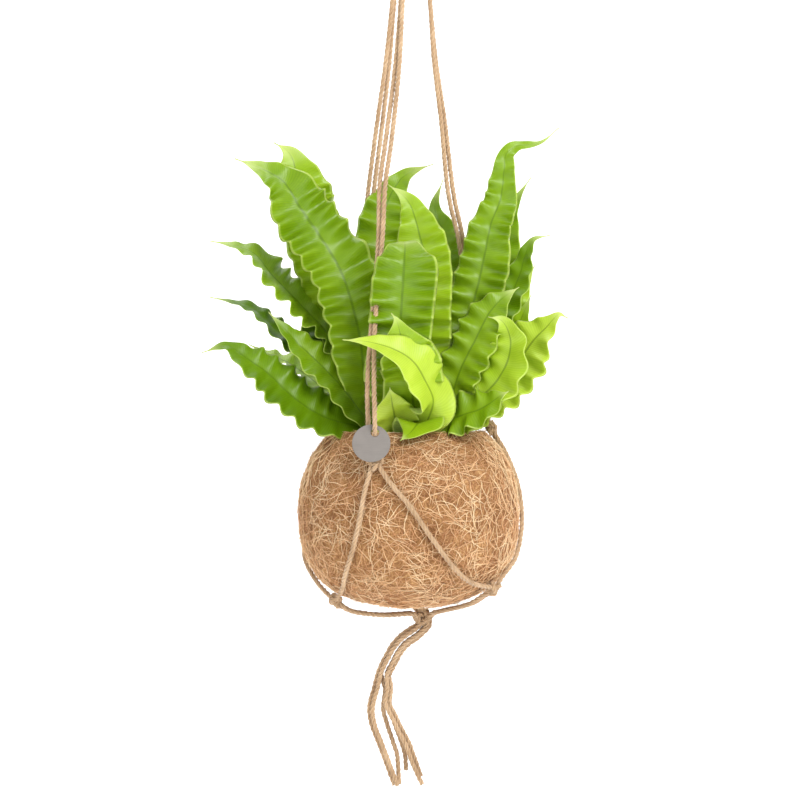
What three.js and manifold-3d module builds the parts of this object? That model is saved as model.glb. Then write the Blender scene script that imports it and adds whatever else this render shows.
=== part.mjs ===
// A fern kokedama: a crispy-wave bird's-nest fern in a ball of coconut coir,
// carried by a knotted net of jute twine. Millimetres, +Z up, front towards -Y.
// The origin is the point of the twine loop that bears on its hook.
import * as THREE from "three";
import { mergeVertices } from "three/addons/utils/BufferGeometryUtils.js";
import Module from "manifold-3d";

const wasm = await Module();
wasm.setup();

// Driving dimensions
const potDrop = 682; // from the hook down to the bottom of the pot
const potRadius = 90;
const potHeight = 143;
const potWidestLevel = 72; // above the bottom
const potClosingRise = 17; // how far above the rim the upper curve would close
const potCurve = 2.4; // 2 is an ellipse, more is squarer
const potWall = 8;
const potSides = 24;
const rootBallGap = 1.2;
const soilBelowRim = 10;
const crownRadius = 9;
const crownHeight = 12;
const twineDiameter = 4;
const twineSides = 8;
const twineSteps = 72;
const touchGap = 0.3;
const loopHeight = 37; // from the top knot up to the hook
const loopWidth = 24;
const topKnotLength = 18;
const topKnotRadius = 10;
const sideKnotLength = 15;
const sideKnotRadius = 7;
const sideKnotFlatness = 0.72; // thickness over width, because it presses on the pot
const baseKnotLength = 16;
const baseKnotRadius = 9.5;
const tagDiameter = 30;
const tagThickness = 1;
const tagHoleDiameter = 6.4;
const tagHoleAbove = 8.4; // the tag's centre
const tagHoleAside = 2.8; // right of the tag's centre
const tagTilt = 15; // degrees, its foot leans out over the knot
const bladeThickness = 1.3;
const bladeShare = 0.58; // of the frilled blade's full width, the strap along its midrib
const stipeWidth = 3.4;
const bladeChannel = 0.1; // depth of the fold along the midrib, as a share of the width
const bladeStep = 15; // distance between the strap's sections

const potUpperReach = potHeight - potWidestLevel + potClosingRise;
const rimLevel = potHeight - potDrop;
const soilLevel = rimLevel - soilBelowRim;
const pairSpacing = twineDiameter * 1.18;

// Colours
const coir = new THREE.MeshStandardMaterial({ color: 0xc49a68, roughness: 0.95 });
const soil = new THREE.MeshStandardMaterial({ color: 0x3b2a1e, roughness: 1 });
const scales = new THREE.MeshStandardMaterial({ color: 0x5a4426, roughness: 0.9 });
const jute = new THREE.MeshStandardMaterial({ color: 0xc4a374, roughness: 0.9 });
const tagGrey = new THREE.MeshStandardMaterial({ color: 0x8f8983, roughness: 0.5 });
const leafDark = new THREE.MeshStandardMaterial({ color: 0x5f8420, roughness: 0.35 });
const leafGreen = new THREE.MeshStandardMaterial({ color: 0x7c9c2c, roughness: 0.35 });
const leafLight = new THREE.MeshStandardMaterial({ color: 0xb6cf5f, roughness: 0.4 });

const plant = new THREE.Group();

function addPiece(name, geometry, material) {
  const piece = new THREE.Mesh(geometry, material);
  piece.name = name;
  plant.add(piece);
  return piece;
}

// Pot: an outline that is a superellipse above and below its widest level
function potRadiusAt(height) {
  const reach = height < potWidestLevel ? potWidestLevel : potUpperReach;
  const share = Math.min(Math.abs(height - potWidestLevel) / reach, 1);
  return potRadius * Math.pow(1 - Math.pow(share, potCurve), 1 / potCurve);
}

function radians(degrees) {
  return degrees * Math.PI / 180;
}

// Azimuth runs from the front (-Y) towards the right (+X).
function around(azimuth, radius, level) {
  const angle = radians(azimuth);
  return new THREE.Vector3(radius * Math.sin(angle), -radius * Math.cos(angle), level);
}

// A point that stands off the pot's wall by lift, at a height above the pot's bottom.
function onPot(azimuth, height, lift) {
  const probe = 0.5;
  const slope = (potRadiusAt(height + probe) - potRadiusAt(height - probe)) / (2 * probe);
  const normal = new THREE.Vector2(1, -slope).normalize();
  const radius = potRadiusAt(height) + normal.x * lift;
  return around(azimuth, radius, height + normal.y * lift - potDrop);
}

// A solid of revolution about the Z axis; each outline point is (radius, level).
function turned(outline, sides) {
  return new THREE.LatheGeometry(outline, sides).rotateX(Math.PI / 2);
}

// The pot's outline, drawn inwards by inset, from the axis at the bottom up to a height.
function outlineOfPot(inset, top) {
  const rows = 12;
  const lastTurn = Math.asin(Math.pow((top - potWidestLevel) / potUpperReach, potCurve / 2));
  const outline = [new THREE.Vector2(0, inset - potDrop)];
  for (let row = 1; row <= rows; row += 1) {
    const turn = -Math.PI / 2 + (lastTurn + Math.PI / 2) * row / rows;
    const reach = turn < 0 ? inset - potWidestLevel : potUpperReach;
    const height = potWidestLevel + reach * Math.pow(Math.abs(Math.sin(turn)), 2 / potCurve);
    const radius = (potRadius - inset) * Math.pow(Math.cos(turn), 2 / potCurve);
    outline.push(new THREE.Vector2(radius, height - potDrop));
  }
  return outline;
}

function potShell() {
  const outer = outlineOfPot(0, potHeight);
  const inner = outlineOfPot(potWall, potHeight).reverse();
  return turned([...outer, ...inner], potSides);
}

function rootBall() {
  const fit = outlineOfPot(potWall + rootBallGap, potHeight - soilBelowRim);
  return turned([...fit, new THREE.Vector2(0, soilLevel)], potSides);
}

function frondCrown() {
  const low = soilLevel + touchGap;
  const profile = [
    new THREE.Vector2(0, low),
    new THREE.Vector2(crownRadius, low),
    new THREE.Vector2(crownRadius * 0.8, low + crownHeight * 0.6),
    new THREE.Vector2(crownRadius * 0.4, low + crownHeight),
    new THREE.Vector2(0, low + crownHeight),
  ];
  return turned(profile, 12);
}

addPiece("coir_pot", potShell(), coir);
addPiece("root_ball", rootBall(), soil);
addPiece("fern_crown", frondCrown(), scales);

// Twine: each tube follows its own route from the top knot to its end in the tassel.
function section(radius) {
  const corners = [];
  for (let side = 0; side < twineSides; side += 1) {
    const angle = 2 * Math.PI * side / twineSides;
    corners.push(new THREE.Vector2(radius * Math.cos(angle), radius * Math.sin(angle)));
  }
  return new THREE.Shape(corners);
}

function tube(route, radius, steps) {
  const path = new THREE.CatmullRomCurve3(route, false, "centripetal");
  return new THREE.ExtrudeGeometry(section(radius), { steps, bevelEnabled: false, extrudePath: path });
}

// A pair of twines lies side by side; turn is the direction of the line between them.
function beside(x, y, level, turn, side) {
  const angle = radians(turn);
  const reach = side * pairSpacing / 2;
  return new THREE.Vector3(x + reach * Math.cos(angle), y + reach * Math.sin(angle), level);
}

function armRoute(stations, side) {
  return stations.map(([x, y, level, turn]) => beside(x, y, level, turn, side));
}

const onWall = twineDiameter / 2 + 0.8;
const knotLift = sideKnotRadius * sideKnotFlatness + 0.6;
const rimKnotLift = knotLift + 1.4; // clears the rim's edge
const topKnotCentre = new THREE.Vector3(3.3, 0, -loopHeight - topKnotLength / 2);
const baseKnotCentre = new THREE.Vector3(12, 0, -690.6);

// Stations of the three arms: x, y, level, turn of the pair
const frontArm = [
  [1.9, -4.3, -55.6, -18], [-1.7, -14.1, -120, -45], [-5.3, -24.2, -186, -70],
  [-9.4, -33.4, -247, -45], [-16.4, -42.6, -308, -5], [-20.9, -47.6, -341, -20],
  [-22.5, -54.4, -386, -50], [-24.9, -58.8, -415, -60], [-28.5, -65.5, -460, -50],
];
const rightArm = [
  [7.8, 0.6, -55.6, 98], [12, 2, -120, 98], [17.6, 3, -186, 90], [21.7, 3.8, -235, 70],
  [28.2, 4.6, -284, 50], [35, 5.4, -345, 20], [43, 6, -382, 40], [46, 7, -415, 80],
  [54, 8.5, -475, 98], [61, 9.4, -515, 98],
];
const backArm = [
  [0.4, 3.4, -55.6, 220], [-6, 9.8, -120, 230], [-12.7, 17.5, -186, 250],
  [-17.5, 23, -235, 230], [-24, 29, -284, 200], [-30.5, 34.7, -333, 185],
  [-36.5, 41, -386, 190], [-41, 47, -440, 205], [-46, 53.5, -500, 220], [-50.6, 60, -535, 220],
];

// Tassel: the six twines leave the base knot as one bunch, then hang apart.
const bunchPath = [[5.6, -703], [-3.4, -709.4], [-9.4, -716], [-16.6, -729], [-20.2, -737]];

function bunched(across, deep) {
  const last = bunchPath.length - 1;
  return bunchPath.map(([x, level], index) => {
    const before = bunchPath[Math.max(index - 1, 0)];
    const after = bunchPath[Math.min(index + 1, last)];
    const way = new THREE.Vector2(after[0] - before[0], after[1] - before[1]).normalize();
    return new THREE.Vector3(x - way.y * across, deep, level + way.x * across);
  });
}

function points(rows) {
  return rows.map(([x, y, level]) => new THREE.Vector3(x, y, level));
}

function wallPoints(rows) {
  return rows.map(([azimuth, height]) => onPot(azimuth, height, onWall));
}

const twineRoutes = {
  front_left_twine: [
    ...armRoute(frontArm, -1),
    ...points([[-32.5, -71.5, -500], [-31.8, -76.5, -532]]),
    onPot(-19.6, 118, knotLift),
    ...wallPoints([[-22.5, 96], [-24.5, 76], [-28.5, 54], [-36.5, 34], [-48, 20]]),
    ...points([[-57.6, -30.8, -674.5], [-51.4, -28.8, -680], [-45, -25.8, -683.5], [-22, -16.5, -687.4], [-3, -9.2, -687.4],
      [4.6, -6.2, -687.6], [8.8, -4.4, -691.5], [8.9, -4.3, -697]]),
    ...bunched(-2.5, -4.1),
    ...points([[-25.3, -2.6, -748], [-29.4, -2.6, -765], [-27.8, -2.6, -778], [-22.9, -2.6, -791],
      [-17.9, -2.6, -804], [-13.1, -2.6, -817], [-8.9, -2.6, -828]]),
  ],
  front_right_twine: [
    ...armRoute(frontArm, 1),
    ...points([[-27.4, -75, -500], [-26.8, -83.5, -522], [-26.6, -87.2, -533], [-26.6, -84, -538.6],
      [-26.4, -80.8, -544.5]]),
    onPot(-16.4, 118, knotLift),
    ...wallPoints([[-9, 103], [0, 87], [10, 64], [24, 39], [36, 28], [50, 23]]),
    onPot(62.2, 22, knotLift),
    ...points([[58, -30.2, -671.5], [49, -24.7, -677.5], [26, -11.4, -684.6], [19, -6.9, -687], [15.2, -4.4, -691.5],
      [15.1, -4.3, -697]]),
    ...bunched(2.5, -4.1),
    ...points([[-17.4, -2.8, -748], [-19, -2.8, -760], [-14.1, -2.8, -771], [-8.4, -2.8, -783],
      [-2.6, -2.8, -794], [1.4, -2.8, -805], [5.5, -2.8, -815], [11.2, -2.8, -827]]),
  ],
  right_front_twine: [
    ...armRoute(rightArm, -1),
    onPot(96, 141, rimKnotLift),
    ...wallPoints([[98, 122], [96, 98], [90, 68], [81, 42], [72, 28]]),
    onPot(65.8, 22, knotLift),
    ...points([[60.6, -25.8, -671.5], [51.4, -20.6, -677.5], [28.4, -7.1, -684.6], [21.6, -1.6, -687], [17.4, 0.4, -691.5],
      [17.3, 0.3, -697]]),
    ...bunched(4.8, 0.3),
    ...points([[-14.4, 1.8, -748], [-16, 1.8, -760], [-11.1, 1.8, -771], [-5.4, 1.8, -783],
      [0.4, 1.8, -794], [4.4, 1.8, -805], [8, 1.8, -815], [10, 1.8, -821]]),
  ],
  right_back_twine: [
    ...armRoute(rightArm, 1),
    onPot(100, 141, rimKnotLift),
    ...wallPoints([[106, 124], [118, 100], [136, 70], [156, 40], [170, 24]]),
    onPot(178, 15, knotLift),
    ...points([[4.9, 48.4, -680], [9.4, 26.4, -684.6], [13, 11, -687], [14.9, 4.6, -691.5],
      [14.7, 4.4, -697]]),
    ...bunched(2.5, 4.2),
    ...points([[-14.8, 7.4, -750], [-15.4, 8, -766], [-11.5, 8, -779], [-7, 8, -791], [-3, 8, -804],
      [-2, 7.6, -817]]),
  ],
  back_right_twine: [
    ...armRoute(backArm, -1),
    onPot(218.2, 125, knotLift),
    ...wallPoints([[214, 106], [205, 78], [196, 48], [188, 28]]),
    onPot(182, 15, knotLift),
    ...points([[0.1, 47.6, -680], [4.6, 25.6, -684.6], [7.7, 11, -687], [9.2, 4.6, -691.5],
      [9.3, 4.4, -697]]),
    ...bunched(-2.5, 4.2),
    ...points([[-19.3, 4, -750], [-20.8, 4, -766], [-17.5, 4, -779], [-13.5, 4, -791], [-9.4, 4, -804],
      [-8.5, 4, -815], [-7.7, 4, -828]]),
  ],
  back_left_twine: [
    ...armRoute(backArm, 1),
    onPot(221.8, 125, knotLift),
    ...wallPoints([[228, 104], [240, 74], [257, 44], [276, 24]]),
    ...points([[-59.8, -26.4, -674.5], [-53.6, -23.8, -680], [-46.8, -21.4, -683.5], [-24, -11.9, -687.4], [-5, -3.9, -687.4],
      [2.6, -0.8, -687.6], [6.7, 0.3, -691.5], [6.8, 0.3, -697]]),
    ...bunched(-4.8, 0.3),
    ...points([[-28, 1.8, -748], [-32.1, 1.8, -765], [-30.5, 1.8, -778], [-25.6, 1.8, -791],
      [-20.6, 1.8, -804], [-15.8, 1.8, -817], [-11.6, 1.8, -828]]),
  ],
};

function solidOf(geometry) {
  const bare = geometry.clone();
  bare.deleteAttribute("normal");
  bare.deleteAttribute("uv");
  const merged = mergeVertices(bare, 0.001);
  const mesh = new wasm.Mesh({
    numProp: 3,
    vertProperties: new Float32Array(merged.attributes.position.array),
    triVerts: new Uint32Array(merged.index.array),
  });
  return new wasm.Manifold(mesh);
}

function geometryOf(solid) {
  const mesh = solid.getMesh();
  const geometry = new THREE.BufferGeometry();
  geometry.setAttribute("position", new THREE.BufferAttribute(mesh.vertProperties, 3));
  geometry.setIndex(new THREE.BufferAttribute(mesh.triVerts, 1));
  geometry.computeVertexNormals();
  return geometry;
}

const tunnels = {};
for (const [name, route] of Object.entries(twineRoutes)) {
  addPiece(name, tube(route, twineDiameter / 2, twineSteps), jute);
  tunnels[name] = solidOf(tube(route, twineDiameter / 2 + touchGap, twineSteps));
}

// Knots: barrels, with a way through for each twine that is tied into them
function barrel(radius, length) {
  const half = length / 2;
  const profile = [
    new THREE.Vector2(0, -half),
    new THREE.Vector2(radius * 0.82, -half),
    new THREE.Vector2(radius, -half * 0.35),
    new THREE.Vector2(radius, half * 0.35),
    new THREE.Vector2(radius * 0.82, half),
    new THREE.Vector2(0, half),
  ];
  return turned(profile, 12);
}

function addKnot(name, body, twines) {
  let solid = solidOf(body);
  for (const twine of twines) {
    solid = solid.subtract(tunnels[twine]);
  }
  addPiece(name, geometryOf(solid), jute);
}

// A side knot sits on the wall, flattened towards it, with its length up the wall.
function sideKnot(azimuth, centre, lean) {
  const body = barrel(sideKnotRadius, sideKnotLength);
  body.scale(1, sideKnotFlatness, 1);
  body.rotateX(radians(lean));
  body.rotateZ(radians(azimuth));
  return body.translate(centre.x, centre.y, centre.z);
}

// This knot hangs in the corner under the pot, clear of its wall.
const lowerLeftHeight = 7.5;
const lowerLeftStandoff = 16.3;
const lowerLeftCentre = around(-64, potRadiusAt(lowerLeftHeight) + lowerLeftStandoff, lowerLeftHeight - potDrop);
addPiece("top_knot", barrel(topKnotRadius, topKnotLength)
  .translate(topKnotCentre.x, topKnotCentre.y, topKnotCentre.z), jute);
addKnot("front_knot", sideKnot(-18, onPot(-18, 118, knotLift), -20), ["front_left_twine", "front_right_twine"]);
addKnot("right_knot", sideKnot(98, onPot(98, 141, rimKnotLift), -20), ["right_front_twine", "right_back_twine"]);
addKnot("back_knot", sideKnot(220, onPot(220, 125, knotLift), -22), ["back_right_twine", "back_left_twine"]);
addKnot("lower_left_knot", sideKnot(-64, lowerLeftCentre, 50), ["front_left_twine", "back_left_twine"]);
addKnot("lower_right_knot", sideKnot(64, onPot(64, 22, knotLift), 45),
  ["front_right_twine", "right_front_twine"]);
addKnot("lower_back_knot", sideKnot(180, onPot(180, 15, knotLift), 52),
  ["right_back_twine", "back_right_twine"]);
addKnot("base_knot", barrel(baseKnotRadius, baseKnotLength)
  .translate(baseKnotCentre.x, baseKnotCentre.y, baseKnotCentre.z), Object.keys(twineRoutes));

// Hanging loop: one bight of twine, whose two ends go into the top knot
function hangingLoop() {
  const foot = -loopHeight + touchGap;
  const top = twineDiameter / 2;
  const half = (loopWidth - twineDiameter) / 2;
  const route = points([
    [0, 0, foot], [0, 0, foot + 3], [-half * 0.4, 0, -28], [-half, 0, -13], [-half * 0.72, 0, top - 5],
    [0, 0, top], [half * 0.72, 0, top - 5], [half, 0, -13], [half * 0.7, 0, -28],
    [6, 0, foot + 3], [6, 0, foot],
  ]);
  return tube(route, twineDiameter / 2, 22);
}
addPiece("twine_loop", hangingLoop(), jute);

// Tag: a thin disc threaded on one twine of the front arm
const tagHoleInset = 1.89; // inside the pot's widest girth
const tagHoleAboveRim = 0.4;
const tagHolePlace = around(-17.57, potRadius - tagHoleInset, rimLevel + tagHoleAboveRim);
function roundTag() {
  const disc = new THREE.Shape().absarc(0, 0, tagDiameter / 2, 0, 2 * Math.PI);
  const hole = new THREE.Path().absarc(tagHoleAside, tagHoleAbove, tagHoleDiameter / 2, 0, 2 * Math.PI);
  disc.holes.push(hole);
  const body = new THREE.ExtrudeGeometry(disc, {
    depth: tagThickness, bevelEnabled: false, curveSegments: 20,
  });
  body.translate(-tagHoleAside, -tagHoleAbove, -tagThickness / 2);
  body.rotateX(radians(90 - tagTilt));
  body.translate(tagHolePlace.x, tagHolePlace.y, tagHolePlace.z);
  return solidOf(body).subtract(tunnels.front_right_twine);
}
addPiece("round_tag", geometryOf(roundTag()), tagGrey);

// Fronds: each is a strap along its midrib. Points are x, y, height above the rim.
// Face is where the upper side looks.
const rimRadius = potRadiusAt(potHeight);
const fronds = [
  { name: "left_tall", width: 48, face: [0.2, -1, 0.2], tone: leafGreen, path: [
    [-12, -8, -8], [-30, -14, 10], [-40, -24, 79], [-54, -28, 128], [-71, -26, 157],
    [-89, -24, 183], [-101, -24, 202], [-120, -27, 213], [-140, -32, 220]] },
  { name: "left_tall_back", width: 38, face: [0.1, -1, 0.3], tone: leafLight, path: [
    [-10, 7, -8], [-23, 12, 12], [-52, 18, 92], [-74, 20, 149], [-89, 22, 190],
    [-93, 24, 214], [-99, 26, 231], [-112, 28, 240]] },
  { name: "left_middle", width: 42, face: [0.6, -0.45, 0.7], tone: leafGreen, path: [
    [-16, 0, -8], [-33, 1, 7], [-60, 0, 71], [-89, -2, 104], [-112, -4, 128],
    [-126, -5, 145], [-140, -5, 151], [-163, -4, 156]] },
  { name: "left_low", width: 34, face: [0.5, -0.4, 0.8], tone: leafDark, path: [
    [-18, -5, -8], [-35, -6, 5], [-60, -8, 40], [-89, -9, 66], [-112, -10, 86],
    [-126, -10, 99], [-142, -10, 105], [-163, -10, 110]] },
  { name: "left_lowest", width: 44, face: [0.35, -0.7, 0.65], tone: leafDark, path: [
    [-19, -12, -8], [-38, -20, 3], [-68, -29, 12], [-93, -33, 28], [-113, -35, 47],
    [-130, -36, 59], [-146, -35, 69], [-166, -34, 64]] },
  { name: "left_back_pale", width: 40, face: [0.3, -0.3, 0.9], tone: leafLight, path: [
    [-18, 5, -8], [-36, 15, 4], [-72, 27, 36], [-101, 34, 57], [-120, 38, 65], [-134, 42, 73]] },
  { name: "centre_broad", width: 42, face: [0, -0.9, 0.45], tone: leafGreen, path: [
    [-3, -14, -8], [-7, -24, 8], [-8, -50, 59], [-6, -64, 96], [-4, -66, 128],
    [-3, -56, 150], [-4, -44, 152]] },
  { name: "centre_tall", width: 38, face: [0, -1, 0.2], tone: leafLight, path: [
    [5, -8, -3], [6, -12, 10], [11, -24, 59], [12, -32, 92], [14, -36, 128],
    [8, -36, 161], [-1, -36, 186], [-17, -37, 199]] },
  { name: "back_centre_left", width: 38, face: [0, -1, 0.2], tone: leafDark, path: [
    [-5, 11, -8], [-8, 14, 10], [-16, 18, 83], [-22, 23, 132], [-23, 28, 165],
    [-16, 32, 194], [-3, 34, 213], [21, 36, 223]] },
  { name: "back_centre_right", width: 32, face: [0, -1, 0.2], tone: leafDark, path: [
    [6, 10, -5], [10, 14, 10], [26, 18, 80], [31, 22, 132], [29, 26, 165],
    [22, 28, 186], [29, 30, 210]] },
  { name: "right_tall", width: 42, face: [-0.1, -1, 0.2], tone: leafGreen, path: [
    [12, -2, -4], [18, -5, 6], [42, -12, 71], [54, -15, 110], [62, -15, 145], [67, -12, 169],
    [75, -8, 190], [78, -4, 213], [80, -2, 227], [87, 0, 233], [108, 3, 237], [124, 8, 250]] },
  { name: "right_tall_back", width: 30, face: [-0.2, -1, 0.2], tone: leafGreen, path: [
    [11, 9, -7], [22, 16, 10], [54, 25, 83], [73, 26, 132], [81, 25, 161],
    [85, 24, 182], [92, 23, 196], [102, 22, 211]] },
  { name: "right_thin", width: 24, face: [-0.5, -1, 0.4], tone: leafDark, path: [
    [16, 0, -8], [28, -3, 8], [64, -5, 75], [82, -2, 108], [91, 0, 128],
    [96, 1, 145], [102, 2, 157], [116, 3, 161]] },
  { name: "right_pale_back", width: 26, face: [-0.3, -1, 0.5], tone: leafLight, path: [
    [15, 8, -8], [30, 20, 8], [67, 34, 67], [87, 38, 100], [97, 40, 120], [106, 42, 139]] },
  { name: "right_lime_back", width: 26, face: [-0.4, -1, 0.5], tone: leafLight, path: [
    [18, 5, -8], [34, 14, 6], [67, 24, 50], [87, 27, 79], [95, 27, 96], [102, 26, 114]] },
  { name: "right_broad", width: 44, face: [-0.5, -0.8, 0.5], tone: leafLight, path: [
    [19, -4, -8], [32, -8, 4], [58, -14, 24], [83, -16, 46], [99, -18, 71],
    [112, -19, 85], [122, -20, 95], [129, -20, 92]] },
  { name: "right_curved", width: 36, face: [-0.5, -0.8, 0.3], tone: leafLight, path: [
    [17, -14, -8], [32, -27, 5], [50, -38, 22], [68, -44, 38], [79, -47, 57],
    [81, -49, 75], [74, -51, 89], [63, -52, 92]] },
  { name: "right_front_long", width: 34, face: [-0.3, -0.9, 0.3], tone: leafGreen, path: [
    [13, -13, -8], [23, -24, 6], [34, -31, 28], [42, -35, 51], [54, -37, 75],
    [65, -35, 96], [76, -32, 108], [89, -28, 117]] },
  { name: "right_front_low", width: 34, face: [-0.3, -0.7, 0.6], tone: leafGreen, path: [
    [14, -20, -8], [25, -34, 5], [41, -47, 13], [58, -55, 19], [71, -60, 28], [79, -63, 33]] },
  { name: "front_bright", width: 34, face: [0.2, -0.8, 0.6], tone: leafLight, path: [
    [6, -26, -8], [13, -42, 5], [19, -58, 25], [13, -69, 40], [3, -77, 56],
    [-11, -81, 65], [-31, -83, 71], [-52, -84, 73]] },
  { name: "front_centre", width: 40, face: [0, -0.9, 0.4], tone: leafLight, path: [
    [-1, -21, -8], [4, -34, 6], [3, -50, 30], [0, -62, 55], [-6, -72, 75], [-10, -76, 89], [-14, -78, 94]] },
  { name: "front_pale", width: 30, face: [0, -0.9, 0.5], tone: leafLight, path: [
    [-8, -22, -8], [-10, -40, 3], [-12, -54, 16], [-14, -62, 28], [-15, -66, 36]] },
  { name: "front_over_rim", width: 26, face: [0, -0.7, 0.8], tone: leafLight, path: [
    [1, -30, -8], [6, -46, 4], [7, -rimRadius - 0.4, 7], [1, -rimRadius - 11.4, 0],
    [-7, -rimRadius - 15.4, -6]] },
  { name: "left_inner_wavy", width: 30, face: [0.4, -0.8, 0.5], tone: leafGreen, path: [
    [-14, -13, -8], [-33, -20, 9], [-54, -24, 36], [-71, -25, 54], [-90, -26, 72],
    [-104, -28, 87], [-113, -29, 97]] },
  { name: "left_inner_dark", width: 32, face: [0.3, -0.9, 0.3], tone: leafDark, path: [
    [-13, 4, -8], [-30, 9, 7], [-52, 14, 40], [-68, 20, 70], [-80, 25, 95], [-88, 28, 113]] },
];

// The fronds of the far side lean out as they rise: azimuth, distance of the root and reach
// of the tip from the axis, height.
const farFronds = [
  { name: "far_right_low", azimuth: 137, root: 28, reach: 108, height: 80, width: 32, tone: leafGreen },
  { name: "far_right_tall", azimuth: 154, root: 21, reach: 88, height: 160, width: 28, tone: leafDark },
  { name: "far_right_arched", azimuth: 170, root: 28, reach: 112, height: 118, width: 42, tone: leafGreen },
  { name: "far_middle_tall", azimuth: 179, root: 21, reach: 84, height: 188, width: 29, tone: leafDark },
  { name: "far_middle_low", azimuth: 197, root: 28, reach: 112, height: 84, width: 40, tone: leafLight },
  { name: "far_left_tall", azimuth: 212, root: 19, reach: 74, height: 168, width: 26, tone: leafGreen },
  { name: "far_left_arched", azimuth: 232, root: 28, reach: 112, height: 112, width: 26, tone: leafDark },
];

// A far frond rises steeply from the crown and bends outwards, its tip nodding.
function farPath({ azimuth, root, reach, height }) {
  const rise = soilLevel - rimLevel + touchGap;
  return [0, 0.15, 0.35, 0.55, 0.75, 0.9, 1].map((share) => {
    const out = root + (reach - root) * Math.pow(share, 1.6);
    const up = rise + (height - rise) * Math.sin(share * Math.PI * 0.54) / Math.sin(Math.PI * 0.54);
    const place = around(azimuth, out, up);
    return [place.x, place.y, place.z];
  });
}

function facing(azimuth) {
  const inward = around(azimuth, -1, 0.9);
  return [inward.x, inward.y, inward.z];
}

for (const frond of farFronds) {
  fronds.push({ ...frond, path: farPath(frond), face: facing(frond.azimuth) });
}

function bladeWidthAt(share, width) {
  const swell = Math.min(1, 0.12 + Math.pow(share / 0.42, 1.4));
  const taper = share < 0.72 ? 1 : 1 - Math.pow((share - 0.72) / 0.28, 1.5) * 0.94;
  return Math.max(width * bladeShare * Math.min(swell, 1) * taper, share < 0.3 ? stipeWidth : 1.6);
}

function strap(frond) {
  const spine = frond.path.map(([x, y, height]) => new THREE.Vector3(x, y, rimLevel + height));
  const curve = new THREE.CatmullRomCurve3(spine, false, "centripetal");
  const face = new THREE.Vector3(...frond.face).normalize();
  const steps = Math.max(6, Math.round(curve.getLength() / bladeStep));
  const corners = [];
  for (let step = 0; step <= steps; step += 1) {
    const share = step / steps;
    const centre = curve.getPointAt(share);
    const along = curve.getTangentAt(share);
    const across = new THREE.Vector3().crossVectors(along, face).normalize();
    const up = new THREE.Vector3().crossVectors(across, along).normalize();
    const half = bladeWidthAt(share, frond.width) / 2;
    const rise = half * 2 * bladeChannel;
    corners.push(centre.clone().addScaledVector(across, -half).addScaledVector(up, rise));
    corners.push(centre.clone().addScaledVector(up, -bladeThickness / 2));
    corners.push(centre.clone().addScaledVector(across, half).addScaledVector(up, rise));
    corners.push(centre.clone().addScaledVector(up, bladeThickness / 2));
  }
  const triangles = [];
  for (let step = 0; step < steps; step += 1) {
    for (let side = 0; side < 4; side += 1) {
      const near = step * 4 + side;
      const next = step * 4 + (side + 1) % 4;
      triangles.push(near, next + 4, next, near, near + 4, next + 4);
    }
  }
  const end = steps * 4;
  triangles.push(0, 1, 3, 1, 2, 3);
  triangles.push(end, end + 3, end + 1, end + 1, end + 3, end + 2);
  const geometry = new THREE.BufferGeometry().setFromPoints(corners);
  geometry.setIndex(triangles);
  geometry.computeVertexNormals();
  return geometry;
}

for (const frond of fronds) {
  addPiece(`frond_${frond.name}`, strap(frond), frond.tone);
}

export default plant;
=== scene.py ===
import bpy
import math
import random
import numpy as np
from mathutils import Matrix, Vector, noise


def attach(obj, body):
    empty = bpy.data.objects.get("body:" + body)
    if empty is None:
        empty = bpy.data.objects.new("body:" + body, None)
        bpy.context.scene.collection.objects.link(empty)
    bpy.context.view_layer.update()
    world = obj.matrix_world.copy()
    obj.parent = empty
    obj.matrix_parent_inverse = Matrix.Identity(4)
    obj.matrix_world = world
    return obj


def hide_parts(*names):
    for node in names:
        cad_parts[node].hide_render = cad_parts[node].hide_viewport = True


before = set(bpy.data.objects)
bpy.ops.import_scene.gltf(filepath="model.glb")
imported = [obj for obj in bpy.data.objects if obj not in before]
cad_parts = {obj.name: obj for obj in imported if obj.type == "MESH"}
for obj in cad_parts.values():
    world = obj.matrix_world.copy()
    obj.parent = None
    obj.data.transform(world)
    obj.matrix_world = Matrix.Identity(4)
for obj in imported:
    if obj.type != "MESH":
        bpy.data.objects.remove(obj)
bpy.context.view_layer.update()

root = "root"
mm = 0.001

# Sizes that this script shares with the solid model, in metres
pot = {
    "drop": 0.682,          # from the hook down to the pot's bottom
    "radius": 0.090,
    "height": 0.143,
    "widest": 0.072,        # level of the widest girth above the bottom
    "upperReach": 0.088,
    "curve": 2.4,
    "wall": 0.008,
    "soilBelowRim": 0.010,
}
twine = {
    "diameter": 0.004,
    "pairSpacing": 0.00472,
    "onWall": 0.0028,
    "knotLift": 0.00564,
    "rimKnotLift": 0.00704,
}
rimLevel = pot["height"] - pot["drop"]
soilLevel = rimLevel - pot["soilBelowRim"]

# Camera, light and set

studio = {
    "eye": (-0.007, -1.8, -0.513),
    "lens": 99,
    "floor": -1.0,
    "wall": 5.0,            # far enough that the plant is seen from every side
    "wallTop": 2.4,
    "halfWidth": 30,
    "sweep": 0.5,           # radius of the bend between floor and wall
    "sweepSteps": 12,
    "paperGlow": 0.6,
    "keyPower": 33,
    "fillPower": 5,
    "rimPower": 7,
    "worldStrength": 0.72,
}


def addCamera():
    data = bpy.data.cameras.new("camera")
    data.lens = studio["lens"]
    data.sensor_width = 36
    data.clip_end = 30
    camera = addObject("camera", data)
    camera.location = studio["eye"]
    camera.rotation_euler = (math.pi / 2, 0, 0)
    bpy.context.scene.camera = camera


def addSoftbox(name, place, target, power, size):
    data = bpy.data.lights.new(name, "AREA")
    data.energy = power
    data.shape = "SQUARE"
    data.size = size
    lamp = addObject(name, data)
    lamp.location = place
    lamp.rotation_euler = (Vector(target) - Vector(place)).to_track_quat("-Z", "Y").to_euler()


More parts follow.
